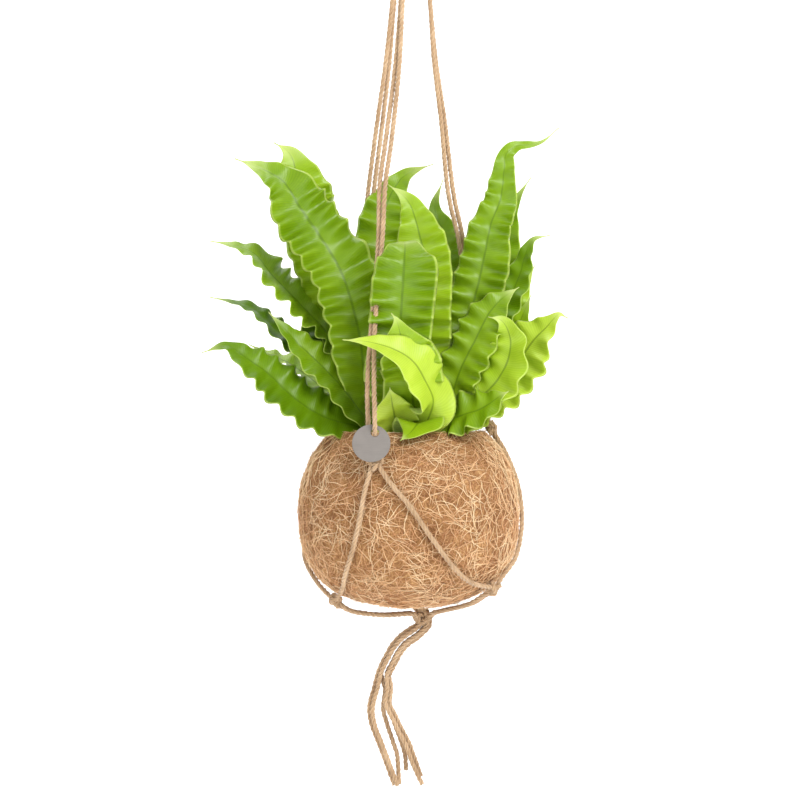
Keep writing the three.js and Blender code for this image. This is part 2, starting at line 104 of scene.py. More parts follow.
def addObject(name, data):
    thing = bpy.data.objects.new(name, data)
    bpy.context.scene.collection.objects.link(thing)
    return thing


def settle(piece, node):
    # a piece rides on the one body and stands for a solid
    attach(piece, root)
    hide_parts(node)
    return piece


def meshFrom(name, points, faces, smooth=True):
    mesh = bpy.data.meshes.new(name)
    mesh.from_pydata([tuple(point) for point in points], [], [tuple(face) for face in faces])
    mesh.polygons.foreach_set("use_smooth", [smooth] * len(mesh.polygons))
    mesh.update()
    return mesh


def addBackdrop():
    # floor that sweeps up into a wall behind the plant
    half, bend, steps = studio["halfWidth"], studio["sweep"], studio["sweepSteps"]
    outline = [(-half, studio["floor"])]
    for turn in range(steps + 1):
        angle = math.pi / 2 * turn / steps
        outline.append((studio["wall"] - bend + bend * math.sin(angle),
                        studio["floor"] + bend - bend * math.cos(angle)))
    outline.append((studio["wall"], studio["wallTop"]))
    points = [(x, y, z) for x in (-half, half) for y, z in outline]
    count = len(outline)
    faces = [(i, i + 1, count + i + 1, count + i) for i in range(count - 1)]
    mesh = meshFrom("backdrop", points, faces)
    material = bpy.data.materials.new("backdropPaper")
    material.use_nodes = True
    shader = material.node_tree.nodes["Principled BSDF"]
    shader.inputs["Base Color"].default_value = (0.93, 0.93, 0.93, 1)
    shader.inputs["Roughness"].default_value = 0.9
    shader.inputs["Emission Color"].default_value = (1, 1, 1, 1)
    shader.inputs["Emission Strength"].default_value = studio["paperGlow"]
    mesh.materials.append(material)
    addObject("backdrop", mesh)


def lightStudio():
    world = bpy.data.worlds.new("studio")
    world.use_nodes = True
    world.node_tree.nodes["Background"].inputs["Color"].default_value = (1, 1, 1, 1)
    world.node_tree.nodes["Background"].inputs["Strength"].default_value = studio["worldStrength"]
    bpy.context.scene.world = world
    middle = (0, 0, -0.5)
    addSoftbox("keySoftbox", (0.9, -1.3, 0.55), middle, studio["keyPower"], 1.0)
    addSoftbox("fillSoftbox", (-1.3, -1.1, -0.2), middle, studio["fillPower"], 1.2)
    addSoftbox("topSoftbox", (-0.2, 0.5, 0.7), middle, studio["rimPower"], 0.8)
    bpy.context.scene.view_settings.view_transform = "Standard"


addCamera()
lightStudio()
addBackdrop()
print("camera, lights and backdrop")


# Node building


class Wire:
    # one socket of a node tree; arithmetic on it adds Math nodes
    def __init__(self, tree, socket=None):
        self.tree = tree
        self.socket = socket

    def make(self, kind, settings=None, inputs=None, output=0):
        node = self.tree.nodes.new(kind)
        for name, value in (settings or {}).items():
            if name == "stops":
                fillRamp(node.color_ramp, value)
            else:
                setattr(node, name, value)
        for name, value in (inputs or {}).items():
            if isinstance(value, Wire):
                self.tree.links.new(value.socket, node.inputs[name])
            else:
                node.inputs[name].default_value = value
        return Wire(self.tree, node.outputs[output])

    def other(self, output):
        return Wire(self.tree, self.socket.node.outputs[output])

    def calc(self, operation, first, second=0.0):
        return self.make("ShaderNodeMath", {"operation": operation}, {0: first, 1: second})

    def vector(self, operation, inputs):
        return self.make("ShaderNodeVectorMath", {"operation": operation}, inputs)

    def __add__(self, value): return self.calc("ADD", self, value)
    def __sub__(self, value): return self.calc("SUBTRACT", self, value)
    def __rsub__(self, value): return self.calc("SUBTRACT", value, self)
    def __mul__(self, value): return self.calc("MULTIPLY", self, value)
    def __pow__(self, value): return self.calc("POWER", self, value)

    def step(self, low, high):
        return self.make("ShaderNodeMapRange", {"interpolation_type": "SMOOTHSTEP"},
                         {"Value": self, "From Min": low, "From Max": high})

    def blend(self, share, low, high):
        return self.make("ShaderNodeMix", {"data_type": "RGBA"}, {0: share, 6: low, 7: high}, 2)

    def ramp(self, stops):
        return self.make("ShaderNodeValToRGB", {"stops": stops}, {"Fac": self})

    def noise(self, where, scale, detail=3.0, rough=0.5, output=0):
        return self.make("ShaderNodeTexNoise", {}, {
            "Vector": where, "Scale": scale, "Detail": detail, "Roughness": rough}, output)

    def place(self):
        return self.make("ShaderNodeTexCoord", {}, {}, 3)

    def carried(self, name):
        return self.make("ShaderNodeAttribute", {"attribute_name": name}, {}, 2)

    def split(self, vector):
        parts = self.make("ShaderNodeSeparateXYZ", {}, {"Vector": vector})
        return parts, parts.other(1), parts.other(2)

    def join(self, x, y, z):
        return self.make("ShaderNodeCombineXYZ", {}, {"X": x, "Y": y, "Z": z})

    def runMap(self):
        # the distance along a piece and the place across it
        return self.split(self.make("ShaderNodeUVMap", {"uv_map": "run"}))[:2]


def fillRamp(ramp, stops):
    while len(ramp.elements) < len(stops):
        ramp.elements.new(0.5)
    for element, (place, color) in zip(ramp.elements, stops):
        element.position = place
        element.color = color


def shade(red, green, blue):
    # a colour from its screen values, 0 to 255
    def linear(value):
        value = value / 255
        return value / 12.92 if value <= 0.04045 else ((value + 0.055) / 1.055) ** 2.4
    return (linear(red), linear(green), linear(blue), 1.0)


def newFinish(name):
    material = bpy.data.materials.new(name)
    material.use_nodes = True
    shader = material.node_tree.nodes["Principled BSDF"]
    return material, shader, Wire(material.node_tree)


def plug(wire, node, socket):
    wire.tree.links.new(wire.socket, node.inputs[socket])


def bumpFrom(wires, height, strength, distance):
    return wires.make("ShaderNodeBump", {}, {
        "Height": height, "Strength": strength, "Distance": distance})


# Finishes


def juteFinish():
    material, shader, wires = newFinish("juteTwine")
    along, about = wires.runMap()
    # staple fibres run along each ply and lean round it
    lean = along * 260 + about * 2.0
    strand = wires.join(along * 60, about * 14 + along * 40, 0.0)
    fine = wires.noise(strand, 1.0, 4.0, 0.65)
    place = wires.place()
    patch = wires.noise(place, 45.0, 3.0, 0.6)
    mixed = fine * 0.65 + patch * 0.35
    color = mixed.ramp([(0.25, shade(112, 80, 52)), (0.45, shade(172, 139, 102)),
                        (0.6, shade(202, 172, 136)), (0.8, shade(232, 212, 180))])
    plug(color, shader, "Base Color")
    shader.inputs["Roughness"].default_value = 0.78
    shader.inputs["Sheen Weight"].default_value = 0.25
    ridges = wires.calc("SINE", lean) * 0.25 + fine
    plug(bumpFrom(wires, ridges, 0.55, 0.0006), shader, "Normal")
    return material


def fibreFinish(name, stops, rough):
    material, shader, wires = newFinish(name)
    tone = wires.carried("tone")
    place = wires.place()
    patch = wires.noise(place, 32.0, 2.0)
    mixed = tone * 0.85 + patch * 0.55 - 0.16
    plug(mixed.ramp(stops), shader, "Base Color")
    shader.inputs["Roughness"].default_value = rough
    return material


def feltFinish():
    material, shader, wires = newFinish("coirFelt")
    place = wires.place()
    # short crossing strands: noise stretched by a warp of its own
    warp = wires.noise(place, 60.0, 2.0, 0.5, 1)
    bent = wires.vector("MULTIPLY_ADD", {0: warp, 1: (0.02, 0.02, 0.02), 2: place})
    strands = wires.noise(bent, 520.0, 5.0, 0.7)
    lumps = wires.noise(place, 38.0, 4.0, 0.6)
    mixed = strands * 0.7 + lumps * 0.3
    # this felt is coloured darker than the loose fibres above it: partly the coir's own colour, partly painted shade
    # for the pits between the fibres
    color = mixed.ramp([(0.3, shade(84, 52, 26)), (0.45, shade(140, 96, 54)),
                        (0.57, shade(186, 142, 92)), (0.72, shade(220, 184, 132))])
    plug(color, shader, "Base Color")
    shader.inputs["Roughness"].default_value = 0.92
    plug(bumpFrom(wires, strands + lumps, 0.9, 0.0016), shader, "Normal")
    return material


def soilFinish(name, stops, scale):
    material, shader, wires = newFinish(name)
    place = wires.place()
    grain = wires.noise(place, scale, 6.0, 0.7)
    plug(grain.ramp(stops), shader, "Base Color")
    shader.inputs["Roughness"].default_value = 0.95
    plug(bumpFrom(wires, grain, 0.8, 0.001), shader, "Normal")
    return material


def tagFinish():
    material, shader, wires = newFinish("tagGrey")
    place = wires.place()
    x, y, z = wires.split(place)
    brushed = wires.join(x * 120, y * 120, z * 2600)
    grain = wires.noise(brushed, 1.0, 3.0)
    cloud = wires.noise(place, 90.0, 2.0)
    color = wires.blend(cloud, shade(104, 98, 93), shade(124, 118, 113))
    plug(wires.blend(grain * 0.5, color, shade(138, 132, 126)), shader, "Base Color")
    shader.inputs["Metallic"].default_value = 0.25
    plug(grain * 0.18 + 0.36, shader, "Roughness")
    return material


def frondFinish():
    material, shader, wires = newFinish("frondSkin")
    along, across = wires.runMap()
    out = wires.calc("ABSOLUTE", across)
    under = wires.carried("under")
    tone = wires.carried("tone")
    tip = wires.carried("tip")
    place = wires.place()
    waver = wires.noise(wires.join(along * 30, across * 1.2, tone * 9), 3.0, 2.0)
    # side veins leave the midrib at even steps and lean towards the tip
    veinSpacing, veinLean = 0.0017, 0.006
    veinTurn = (along - out * veinLean) * (2 * math.pi / veinSpacing) + waver * 3.0
    vein = wires.calc("SINE", veinTurn) * 0.5 + 0.5
    cloud = wires.noise(place, 26.0, 3.0, 0.55)
    shown = tone + (cloud - 0.5) * 0.35 + (vein - 0.5) * 0.05
    upper = shown.ramp([(0.0, shade(62, 98, 0)), (0.35, shade(112, 150, 6)),
                        (0.65, shade(156, 190, 26)), (1.0, shade(212, 232, 82))])
    lower = shown.ramp([(0.0, shade(112, 142, 44)), (0.5, shade(156, 188, 76)),
                        (1.0, shade(216, 228, 140))])
    color = wires.blend(under, upper, lower)
    rib = 1 - out.step(0.02, 0.06)
    groove = wires.blend(under, shade(84, 116, 10), shade(200, 214, 128))
    color = wires.blend(rib * 0.6, color, groove)
    # painted light: the blade's edge is lightened towards yellow to stand for light shining through the thin rim
    paintedEdgeGlow = out.step(0.9, 0.97)
    color = wires.blend(paintedEdgeGlow * 0.65, color, shade(214, 234, 116))
    color = wires.blend(tip, color, shade(222, 232, 150))
    plug(color, shader, "Base Color")
    plug(under * 0.22 + cloud * 0.1 + 0.3, shader, "Roughness")
    shader.inputs["Specular IOR Level"].default_value = 0.45
    relief = vein * 0.5 + waver * 0.2
    plug(bumpFrom(wires, relief, 0.35, 0.0004), shader, "Normal")
    through = wires.make("ShaderNodeBsdfTranslucent", {}, {"Color": color})
    skin = Wire(wires.tree, shader.outputs[0])
    mixed = wires.make("ShaderNodeMixShader", {}, {0: 0.3, 1: skin, 2: through})
    plug(mixed, wires.tree.nodes["Material Output"], "Surface")
    return material


jute = juteFinish()
frondSkin = frondFinish()
print("finishes")


# Lines and tubes


def smoothLine(points, spacing):
    # a centripetal Catmull-Rom curve through the points, cut into equal steps
    points = np.array(points, float)
    first = 2 * points[0] - points[1]
    last = 2 * points[-1] - points[-2]
    padded = np.vstack([first, points, last])
    fine = []
    for i in range(1, len(padded) - 2):
        p0, p1, p2, p3 = padded[i - 1:i + 3]
        t1 = math.sqrt(np.linalg.norm(p1 - p0))
        t2 = t1 + math.sqrt(np.linalg.norm(p2 - p1))
        t3 = t2 + math.sqrt(np.linalg.norm(p3 - p2))
        t = np.linspace(t1, t2, 24, endpoint=False)[:, None]
        a1 = (t1 - t) / t1 * p0 + t / t1 * p1
        a2 = (t2 - t) / (t2 - t1) * p1 + (t - t1) / (t2 - t1) * p2
        a3 = (t3 - t) / (t3 - t2) * p2 + (t - t2) / (t3 - t2) * p3
        b1 = (t2 - t) / t2 * a1 + t / t2 * a2
        b2 = (t3 - t) / (t3 - t1) * a2 + (t - t1) / (t3 - t1) * a3
        fine.append((t2 - t) / (t2 - t1) * b1 + (t - t1) / (t2 - t1) * b2)
    fine = np.vstack(fine + [points[-1:]])
    run = runAlong(fine)
    count = max(2, int(round(run[-1] / spacing)))
    stops = np.linspace(0, run[-1], count + 1)
    return np.stack([np.interp(stops, run, fine[:, axis]) for axis in range(3)], axis=1)


def runAlong(line):
    # distance along a line at each of its points
    return np.concatenate([[0], np.cumsum(np.linalg.norm(np.diff(line, axis=0), axis=1))])


def unit(rows):
    return rows / np.maximum(np.linalg.norm(rows, axis=-1, keepdims=True), 1e-12)


def carriedFrames(line):
    # a pair of cross directions, carried along a line without twist
    tangents = unit(np.gradient(line, axis=0))
    current = np.array([1.0, 0, 0]) if abs(tangents[0][0]) < 0.8 else np.array([0, 1.0, 0])
    side = np.zeros_like(line)
    for i, tangent in enumerate(tangents):
        current = current - tangent * np.dot(current, tangent)
        current = current / np.linalg.norm(current)
        side[i] = current
    return side, np.cross(tangents, side)


def ringTube(rings, closed=False):
    # faces of a tube from rings of points, with both ends capped
    count, sides = rings.shape[:2]
    faces = []
    for i in range(count if closed else count - 1):
        here, there = i * sides, (i + 1) % count * sides
        for j in range(sides):
            k = (j + 1) % sides
            faces.append((here + j, here + k, there + k, there + j))
    if not closed:
        faces.append(tuple(range(sides))[::-1])
        faces.append(tuple((count - 1) * sides + j for j in range(sides)))
    return rings.reshape(-1, 3), faces


rope = {
    "plies": 3,
    "plyOffset": 0.52,      # of the twine's radius
    "plyRadius": 0.53,
    "pitch": 0.0135,
    "sides": 8,
    "spacing": 0.0017,
    "plyShift": 0.31,       # keeps the plies from looking alike
}


def gather(parts):
    # joins solids, each given as points, faces and marks
    base, points, faces, marks = 0, [], [], []
    for solid, skin, mark in parts:
        faces.extend(tuple(index + base for index in face) for face in skin)
        base += len(solid)
        points.append(solid)
        marks.append(mark)
    return np.vstack(points), faces, np.vstack(marks)


def ropeSolids(line, radius, pitch):
    # three plies laid round one line; gives points, faces and (run, about) for each point
    side, other = carriedFrames(line)
    run = runAlong(line)
    about = np.arange(rope["sides"]) / rope["sides"]
    turn = 2 * math.pi * about
    parts = []
    for ply in range(rope["plies"]):
        angle = 2 * math.pi * (run / pitch + ply / rope["plies"])
        outward = side * np.cos(angle)[:, None] + other * np.sin(angle)[:, None]
        centre = line + outward * radius * rope["plyOffset"]
        way = unit(np.gradient(centre, axis=0))
        first = unit(outward - way * np.sum(outward * way, axis=1, keepdims=True))
        second = np.cross(way, first)
        swell = 1 + 0.07 * np.sin(run * 900 + ply * 2.1) + 0.05 * np.sin(run * 2300 + ply)
        size = radius * rope["plyRadius"] * swell
        ring = (first[:, None, :] * np.cos(turn)[None, :, None]
                + second[:, None, :] * np.sin(turn)[None, :, None])
        solid, skin = ringTube(centre[:, None, :] + ring * size[:, None, None])
        marks = np.broadcast_arrays(run[:, None] + ply * rope["plyShift"], about[None, :])
        parts.append((solid, skin, np.stack(marks, axis=-1).reshape(-1, 2)))
    return gather(parts)


def addRun(mesh, marks):
    # a UV map that holds the distance along a piece and the place across it
    layer = mesh.uv_layers.new(name="run")
    index = np.zeros(len(mesh.loops), int)
    mesh.loops.foreach_get("vertex_index", index)
    layer.data.foreach_set("uv", np.asarray(marks, float)[index].ravel())


def addValues(mesh, name, values):
    attribute = mesh.attributes.new(name, "FLOAT", "POINT")
    attribute.data.foreach_set("value", np.asarray(values, float))


def ropePiece(name, lines, radius, pitch=rope["pitch"]):
    points, faces, marks = gather([ropeSolids(line, radius, pitch) for line in lines])
    mesh = meshFrom(name, points, faces)
    addRun(mesh, marks)
    mesh.materials.append(jute)
    return addObject(name, mesh)


# Places on the pot


def potRadiusAt(height):
    reach = pot["widest"] if height < pot["widest"] else pot["upperReach"]
    share = min(abs(height - pot["widest"]) / reach, 1)
    return pot["radius"] * (1 - share ** pot["curve"]) ** (1 / pot["curve"])


def around(azimuth, radius, level):
    # azimuth runs from the front towards the right
    angle = math.radians(azimuth)
    return (radius * math.sin(angle), -radius * math.cos(angle), level)


def onPot(azimuth, height, lift):
    height = height * mm
    probe = 0.0005
    slope = (potRadiusAt(height + probe) - potRadiusAt(height - probe)) / (2 * probe)
    size = math.hypot(1, slope)
    radius = potRadiusAt(height) + lift / size
    return around(azimuth, radius, height - slope / size * lift - pot["drop"])


def wallPoints(rows):
    return [onPot(azimuth, height, twine["onWall"]) for azimuth, height in rows]


def metres(rows):
    return [(x * mm, y * mm, z * mm) for x, y, z in rows]


# Twine routes, as in the solid model: stations of the three arms are x, y, level in
# millimetres and the turn of the pair.

frontArm = [
    (1.9, -4.3, -55.6, -18), (-1.7, -14.1, -120, -45), (-5.3, -24.2, -186, -70),
    (-9.4, -33.4, -247, -45), (-16.4, -42.6, -308, -5), (-20.9, -47.6, -341, -20),
    (-22.5, -54.4, -386, -50), (-24.9, -58.8, -415, -60), (-28.5, -65.5, -460, -50),
]
rightArm = [
    (7.8, 0.6, -55.6, 98), (12, 2, -120, 98), (17.6, 3, -186, 90), (21.7, 3.8, -235, 70),
    (28.2, 4.6, -284, 50), (35, 5.4, -345, 20), (43, 6, -382, 40), (46, 7, -415, 80),
    (54, 8.5, -475, 98), (61, 9.4, -515, 98),
]
backArm = [
    (0.4, 3.4, -55.6, 220), (-6, 9.8, -120, 230), (-12.7, 17.5, -186, 250),
    (-17.5, 23, -235, 230), (-24, 29, -284, 200), (-30.5, 34.7, -333, 185),
    (-36.5, 41, -386, 190), (-41, 47, -440, 205), (-46, 53.5, -500, 220), (-50.6, 60, -535, 220),
]
bunchPath = [(5.6, -703), (-3.4, -709.4), (-9.4, -716), (-16.6, -729), (-20.2, -737)]


def armRoute(stations, side):
    reach = side * twine["pairSpacing"] / 2
    route = []
    for x, y, level, turn in stations:
        angle = math.radians(turn)
        route.append((x * mm + reach * math.cos(angle), y * mm + reach * math.sin(angle), level * mm))
    return route


def bunched(across, deep):
    route = []
    last = len(bunchPath) - 1
    for index, (x, level) in enumerate(bunchPath):
        before = bunchPath[max(index - 1, 0)]
        after = bunchPath[min(index + 1, last)]
        wayX, wayZ = after[0] - before[0], after[1] - before[1]
        size = math.hypot(wayX, wayZ)
        route.append((x - wayZ / size * across, deep, level + wayX / size * across))
    return metres(route)


lift = twine["knotLift"]
rimLift = twine["rimKnotLift"]
twineRoutes = {
    "front_left_twine": (
        armRoute(frontArm, -1) + metres([(-32.5, -71.5, -500), (-31.8, -76.5, -532)])
        + [onPot(-19.6, 118, lift)]
        + wallPoints([(-22.5, 96), (-24.5, 76), (-28.5, 54), (-36.5, 34), (-48, 20)])
        + metres([(-57.6, -30.8, -674.5), (-51.4, -28.8, -680), (-45, -25.8, -683.5), (-22, -16.5, -687.4),
                  (-3, -9.2, -687.4), (4.6, -6.2, -687.6), (8.8, -4.4, -691.5), (8.9, -4.3, -697)])
        + bunched(-2.5, -4.1)
        + metres([(-25.3, -2.6, -748), (-29.4, -2.6, -765), (-27.8, -2.6, -778), (-22.9, -2.6, -791),
                  (-17.9, -2.6, -804), (-13.1, -2.6, -817), (-8.9, -2.6, -828)])),
    "front_right_twine": (
        armRoute(frontArm, 1)
        + metres([(-27.4, -75, -500), (-26.8, -83.5, -522), (-26.6, -87.2, -533), (-26.6, -84, -538.6),
                  (-26.4, -80.8, -544.5)])
        + [onPot(-16.4, 118, lift)]
        + wallPoints([(-9, 103), (0, 87), (10, 64), (24, 39), (36, 28), (50, 23)])
        + [onPot(62.2, 22, lift)]
        + metres([(58, -30.2, -671.5), (49, -24.7, -677.5), (26, -11.4, -684.6), (19, -6.9, -687),
                  (15.2, -4.4, -691.5), (15.1, -4.3, -697)])
        + bunched(2.5, -4.1)
        + metres([(-17.4, -2.8, -748), (-19, -2.8, -760), (-14.1, -2.8, -771), (-8.4, -2.8, -783),
                  (-2.6, -2.8, -794), (1.4, -2.8, -805), (5.5, -2.8, -815), (11.2, -2.8, -827)])),
    "right_front_twine": (
        armRoute(rightArm, -1) + [onPot(96, 141, rimLift)]
        + wallPoints([(98, 122), (96, 98), (90, 68), (81, 42), (72, 28)])
        + [onPot(65.8, 22, lift)]
        + metres([(60.6, -25.8, -671.5), (51.4, -20.6, -677.5), (28.4, -7.1, -684.6), (21.6, -1.6, -687),
                  (17.4, 0.4, -691.5), (17.3, 0.3, -697)])
        + bunched(4.8, 0.3)
        + metres([(-14.4, 1.8, -748), (-16, 1.8, -760), (-11.1, 1.8, -771), (-5.4, 1.8, -783),
                  (0.4, 1.8, -794), (4.4, 1.8, -805), (8, 1.8, -815), (10, 1.8, -821)])),
    "right_back_twine": (
        armRoute(rightArm, 1) + [onPot(100, 141, rimLift)]
        + wallPoints([(106, 124), (118, 100), (136, 70), (156, 40), (170, 24)])
        + [onPot(178, 15, lift)]
        + metres([(4.9, 48.4, -680), (9.4, 26.4, -684.6), (13, 11, -687), (14.9, 4.6, -691.5),
                  (14.7, 4.4, -697)])
        + bunched(2.5, 4.2)
        + metres([(-14.8, 7.4, -750), (-15.4, 8, -766), (-11.5, 8, -779), (-7, 8, -791), (-3, 8, -804),
                  (-2, 7.6, -817)])),
    "back_right_twine": (
        armRoute(backArm, -1) + [onPot(218.2, 125, lift)]
        + wallPoints([(214, 106), (205, 78), (196, 48), (188, 28)])
        + [onPot(182, 15, lift)]
        + metres([(0.1, 47.6, -680), (4.6, 25.6, -684.6), (7.7, 11, -687), (9.2, 4.6, -691.5),
                  (9.3, 4.4, -697)])
        + bunched(-2.5, 4.2)
        + metres([(-19.3, 4, -750), (-20.8, 4, -766), (-17.5, 4, -779), (-13.5, 4, -791), (-9.4, 4, -804),
                  (-8.5, 4, -815), (-7.7, 4, -828)])),
    "back_left_twine": (
        armRoute(backArm, 1) + [onPot(221.8, 125, lift)]
        + wallPoints([(228, 104), (240, 74), (257, 44), (276, 24)])
        + metres([(-59.8, -26.4, -674.5), (-53.6, -23.8, -680), (-46.8, -21.4, -683.5),
                  (-24, -11.9, -687.4), (-5, -3.9, -687.4), (2.6, -0.8, -687.6), (6.7, 0.3, -691.5), (6.8, 0.3, -697)])
        + bunched(-4.8, 0.3)
        + metres([(-28, 1.8, -748), (-32.1, 1.8, -765), (-30.5, 1.8, -778), (-25.6, 1.8, -791),
                  (-20.6, 1.8, -804), (-15.8, 1.8, -817), (-11.6, 1.8, -828)])),
}


def addTwines():
    pieces = []
    for number, (node, route) in enumerate(twineRoutes.items()):
        line = smoothLine(route, rope["spacing"])
        piece = ropePiece(node.replace("_", "") + "Rope", [line], twine["diameter"] / 2,
                          pitch=rope["pitch"] * (1 + 0.02 * number))
        settle(piece, node)
        pieces.append(piece)
    return pieces


twinePieces = addTwines()
print("twines")


# Knots: an overhand knot's path is a trefoil, drawn with as many parallel twines as it ties

knots = {
    "steps": 60,
    "turned": 0.985,        # share of the trefoil that is drawn, so that its ends stay apart
    "spacing": 0.0011,
    "sideReach": 0.0052,
    "sideDepth": 0.0028,
    "sideDraw": 0.92,       # the twine is pulled thinner in a knot
    "sidePitch": 0.011,
    "baseReach": 0.0062,
    "baseDepth": 0.0052,
    "topReach": 0.0066,
    "topDepth": 0.0056,
    "roundDraw": 0.95,
    "roundPitch": 0.012,
    "strands": 3,
}


def overhand(centre, across, up, outward, reach, depth, shift, turn=0.0):
    line = []
    for step in range(knots["steps"] + 1):
        t = 2 * math.pi * step / knots["steps"] * knots["turned"] + turn
        x = (math.sin(t) + 2 * math.sin(2 * t)) / 3
        y = (math.cos(t) - 2 * math.cos(2 * t)) / 3
        z = -math.sin(3 * t)
        line.append(tuple(Vector(centre) + across * (x * (reach + shift))
                          + up * (y * (reach + shift)) + outward * (z * depth)))
    return smoothLine(line, knots["spacing"])


def addSideKnot(name, node, azimuth, centre, lean):
    out = Vector(around(azimuth, 1, 0))
    across = Vector((-out.y, out.x, 0))
    tilt = math.radians(lean)
    outward = out * math.cos(tilt) + Vector((0, 0, -math.sin(tilt)))
    up = outward.cross(across)
    if up.z < 0:
        up = -up
    lines = [overhand(centre, across, up, outward, knots["sideReach"], knots["sideDepth"], shift, turn)
             for shift, turn in ((0.0004, 0.0), (-0.0026, 0.35))]
    piece = ropePiece(name, lines, twine["diameter"] / 2 * knots["sideDraw"], pitch=knots["sidePitch"])
    return settle(piece, node)


def addRoundKnot(name, node, centre, reach, depth):
    lines, strands = [], knots["strands"]
    for number in range(strands):
        spin = 2 * math.pi * number / strands
        outward = Vector((math.cos(spin) * 0.55, math.sin(spin) * 0.55, 0.8)).normalized()
        across = outward.orthogonal().normalized()
        lines.append(overhand(centre, across, outward.cross(across), outward, reach, depth,
                              -0.0009 * number, spin * 0.5))
    piece = ropePiece(name, lines, twine["diameter"] / 2 * knots["roundDraw"], pitch=knots["roundPitch"])
    return settle(piece, node)


knotPieces = [
    addSideKnot("frontKnot", "front_knot", -18, onPot(-18, 118, lift), -20),
    addSideKnot("rightKnot", "right_knot", 98, onPot(98, 141, rimLift), -20),
    addSideKnot("backKnot", "back_knot", 220, onPot(220, 125, lift), -22),
    addSideKnot("lowerLeftKnot", "lower_left_knot", -64, metres([(-58.7, -28.6, -674.5)])[0], 40),
    addSideKnot("lowerRightKnot", "lower_right_knot", 64, onPot(64, 22, lift), 35),
    addSideKnot("lowerBackKnot", "lower_back_knot", 180, onPot(180, 15, lift), 40),
    addRoundKnot("baseKnot", "base_knot", metres([(12, 0, -690.6)])[0],
                 knots["baseReach"], knots["baseDepth"]),
    addRoundKnot("topKnot", "top_knot", metres([(3.3, 0, -46)])[0],
                 knots["topReach"], knots["topDepth"]),
]


def addLoop():
    half = 10
    route = metres([
        (0.6, 0, -46), (0, 0, -36.7), (0, 0, -33.7), (-half * 0.4, 0, -28), (-half, 0, -13),
        (-half * 0.72, 0, -3), (0, 0, 2), (half * 0.72, 0, -3), (half, 0, -13), (half * 0.7, 0, -28),
        (6, 0, -33.7), (6, 0, -36.7), (5.4, 0, -46)])
    piece = ropePiece("hangingLoop", [smoothLine(route, rope["spacing"])], twine["diameter"] / 2)
    return settle(piece, "twine_loop")


knotPieces.append(addLoop())
print("knots and loop")


# Coir pot

coir = {
    "around": 220,
    "rows": 150,
    "inset": 0.0012,
    "lump": 0.0011,
    "lumpScale": 42,
    "pimple": 0.0004,
    "pimpleScale": 260,
}


def potOutline(inset, top, rows):
    outline = []
    lastTurn = math.asin(((top - pot["widest"]) / pot["upperReach"]) ** (pot["curve"] / 2))
    for row in range(rows + 1):
        turn = -math.pi / 2 + (lastTurn + math.pi / 2) * row / rows
        reach = inset - pot["widest"] if turn < 0 else pot["upperReach"]
        height = pot["widest"] + reach * abs(math.sin(turn)) ** (2 / pot["curve"])
        radius = (pot["radius"] - inset) * max(math.cos(turn), 0) ** (2 / pot["curve"])
        outline.append((radius, height))
    return outline


def turnedFaces(rows, count):
    # faces over rings of points, closed by a point on the axis at each end
    last = 1 + rows * count
    faces = []
    for turn in range(count):
        after = (turn + 1) % count
        faces.append((0, 1 + after, 1 + turn))
        for row in range(rows - 1):
            low, high = 1 + row * count, 1 + (row + 1) * count
            faces.append((low + turn, low + after, high + after, high + turn))
        faces.append((last, 1 + (rows - 1) * count + turn, 1 + (rows - 1) * count + after))
    return faces


def addCoirBody():
    height = pot["height"]
    outer = potOutline(coir["inset"], height - 0.003, coir["rows"])
    rim = outer[-1][0]
    edge = [(rim - 0.0015, height - 0.0006), (rim - 0.004, height - 0.0002),
            (rim - 0.0065, height - 0.0022)]
    inner = potOutline(pot["wall"], height - 0.005, 40)[::-1]
    outline = outer + edge + inner
    count = coir["around"]
    points = [(0, 0, outline[0][1] - pot["drop"])]
    for radius, level in outline[1:-1]:
        for turn in range(count):
            x, y, z = around(360 * turn / count, radius, level - pot["drop"])
            place = Vector((x, y, z))
            bulge = noise.fractal(place * coir["lumpScale"], 0.9, 2.1, 4) * coir["lump"]
            bulge += noise.noise(place * coir["pimpleScale"]) * coir["pimple"]
            out = Vector((x, y, z + pot["drop"] - pot["widest"])).normalized()
            points.append(place + out * bulge)
    points.append((0, 0, outline[-1][1] - pot["drop"]))
    mesh = meshFrom("coirBody", points, turnedFaces(len(outline) - 2, count))
    mesh.materials.append(feltFinish())
    return settle(addObject("coirBody", mesh), "coir_pot")


coirBody = addCoirBody()
print("coir body")


fibre = {
    "spinDraw": 11,         # offsets from the seed, which keep the random draws apart
    "tiltDraw": 12,
    "sizeDraw": 13,
    "toneDraw": 14,
    "fullTurn": 6.2832,
    "shortest": 0.55,       # of the given length
    "longest": 1.3,
    "wanderScale": 70.0,
    "wanderSpread": 40,
}


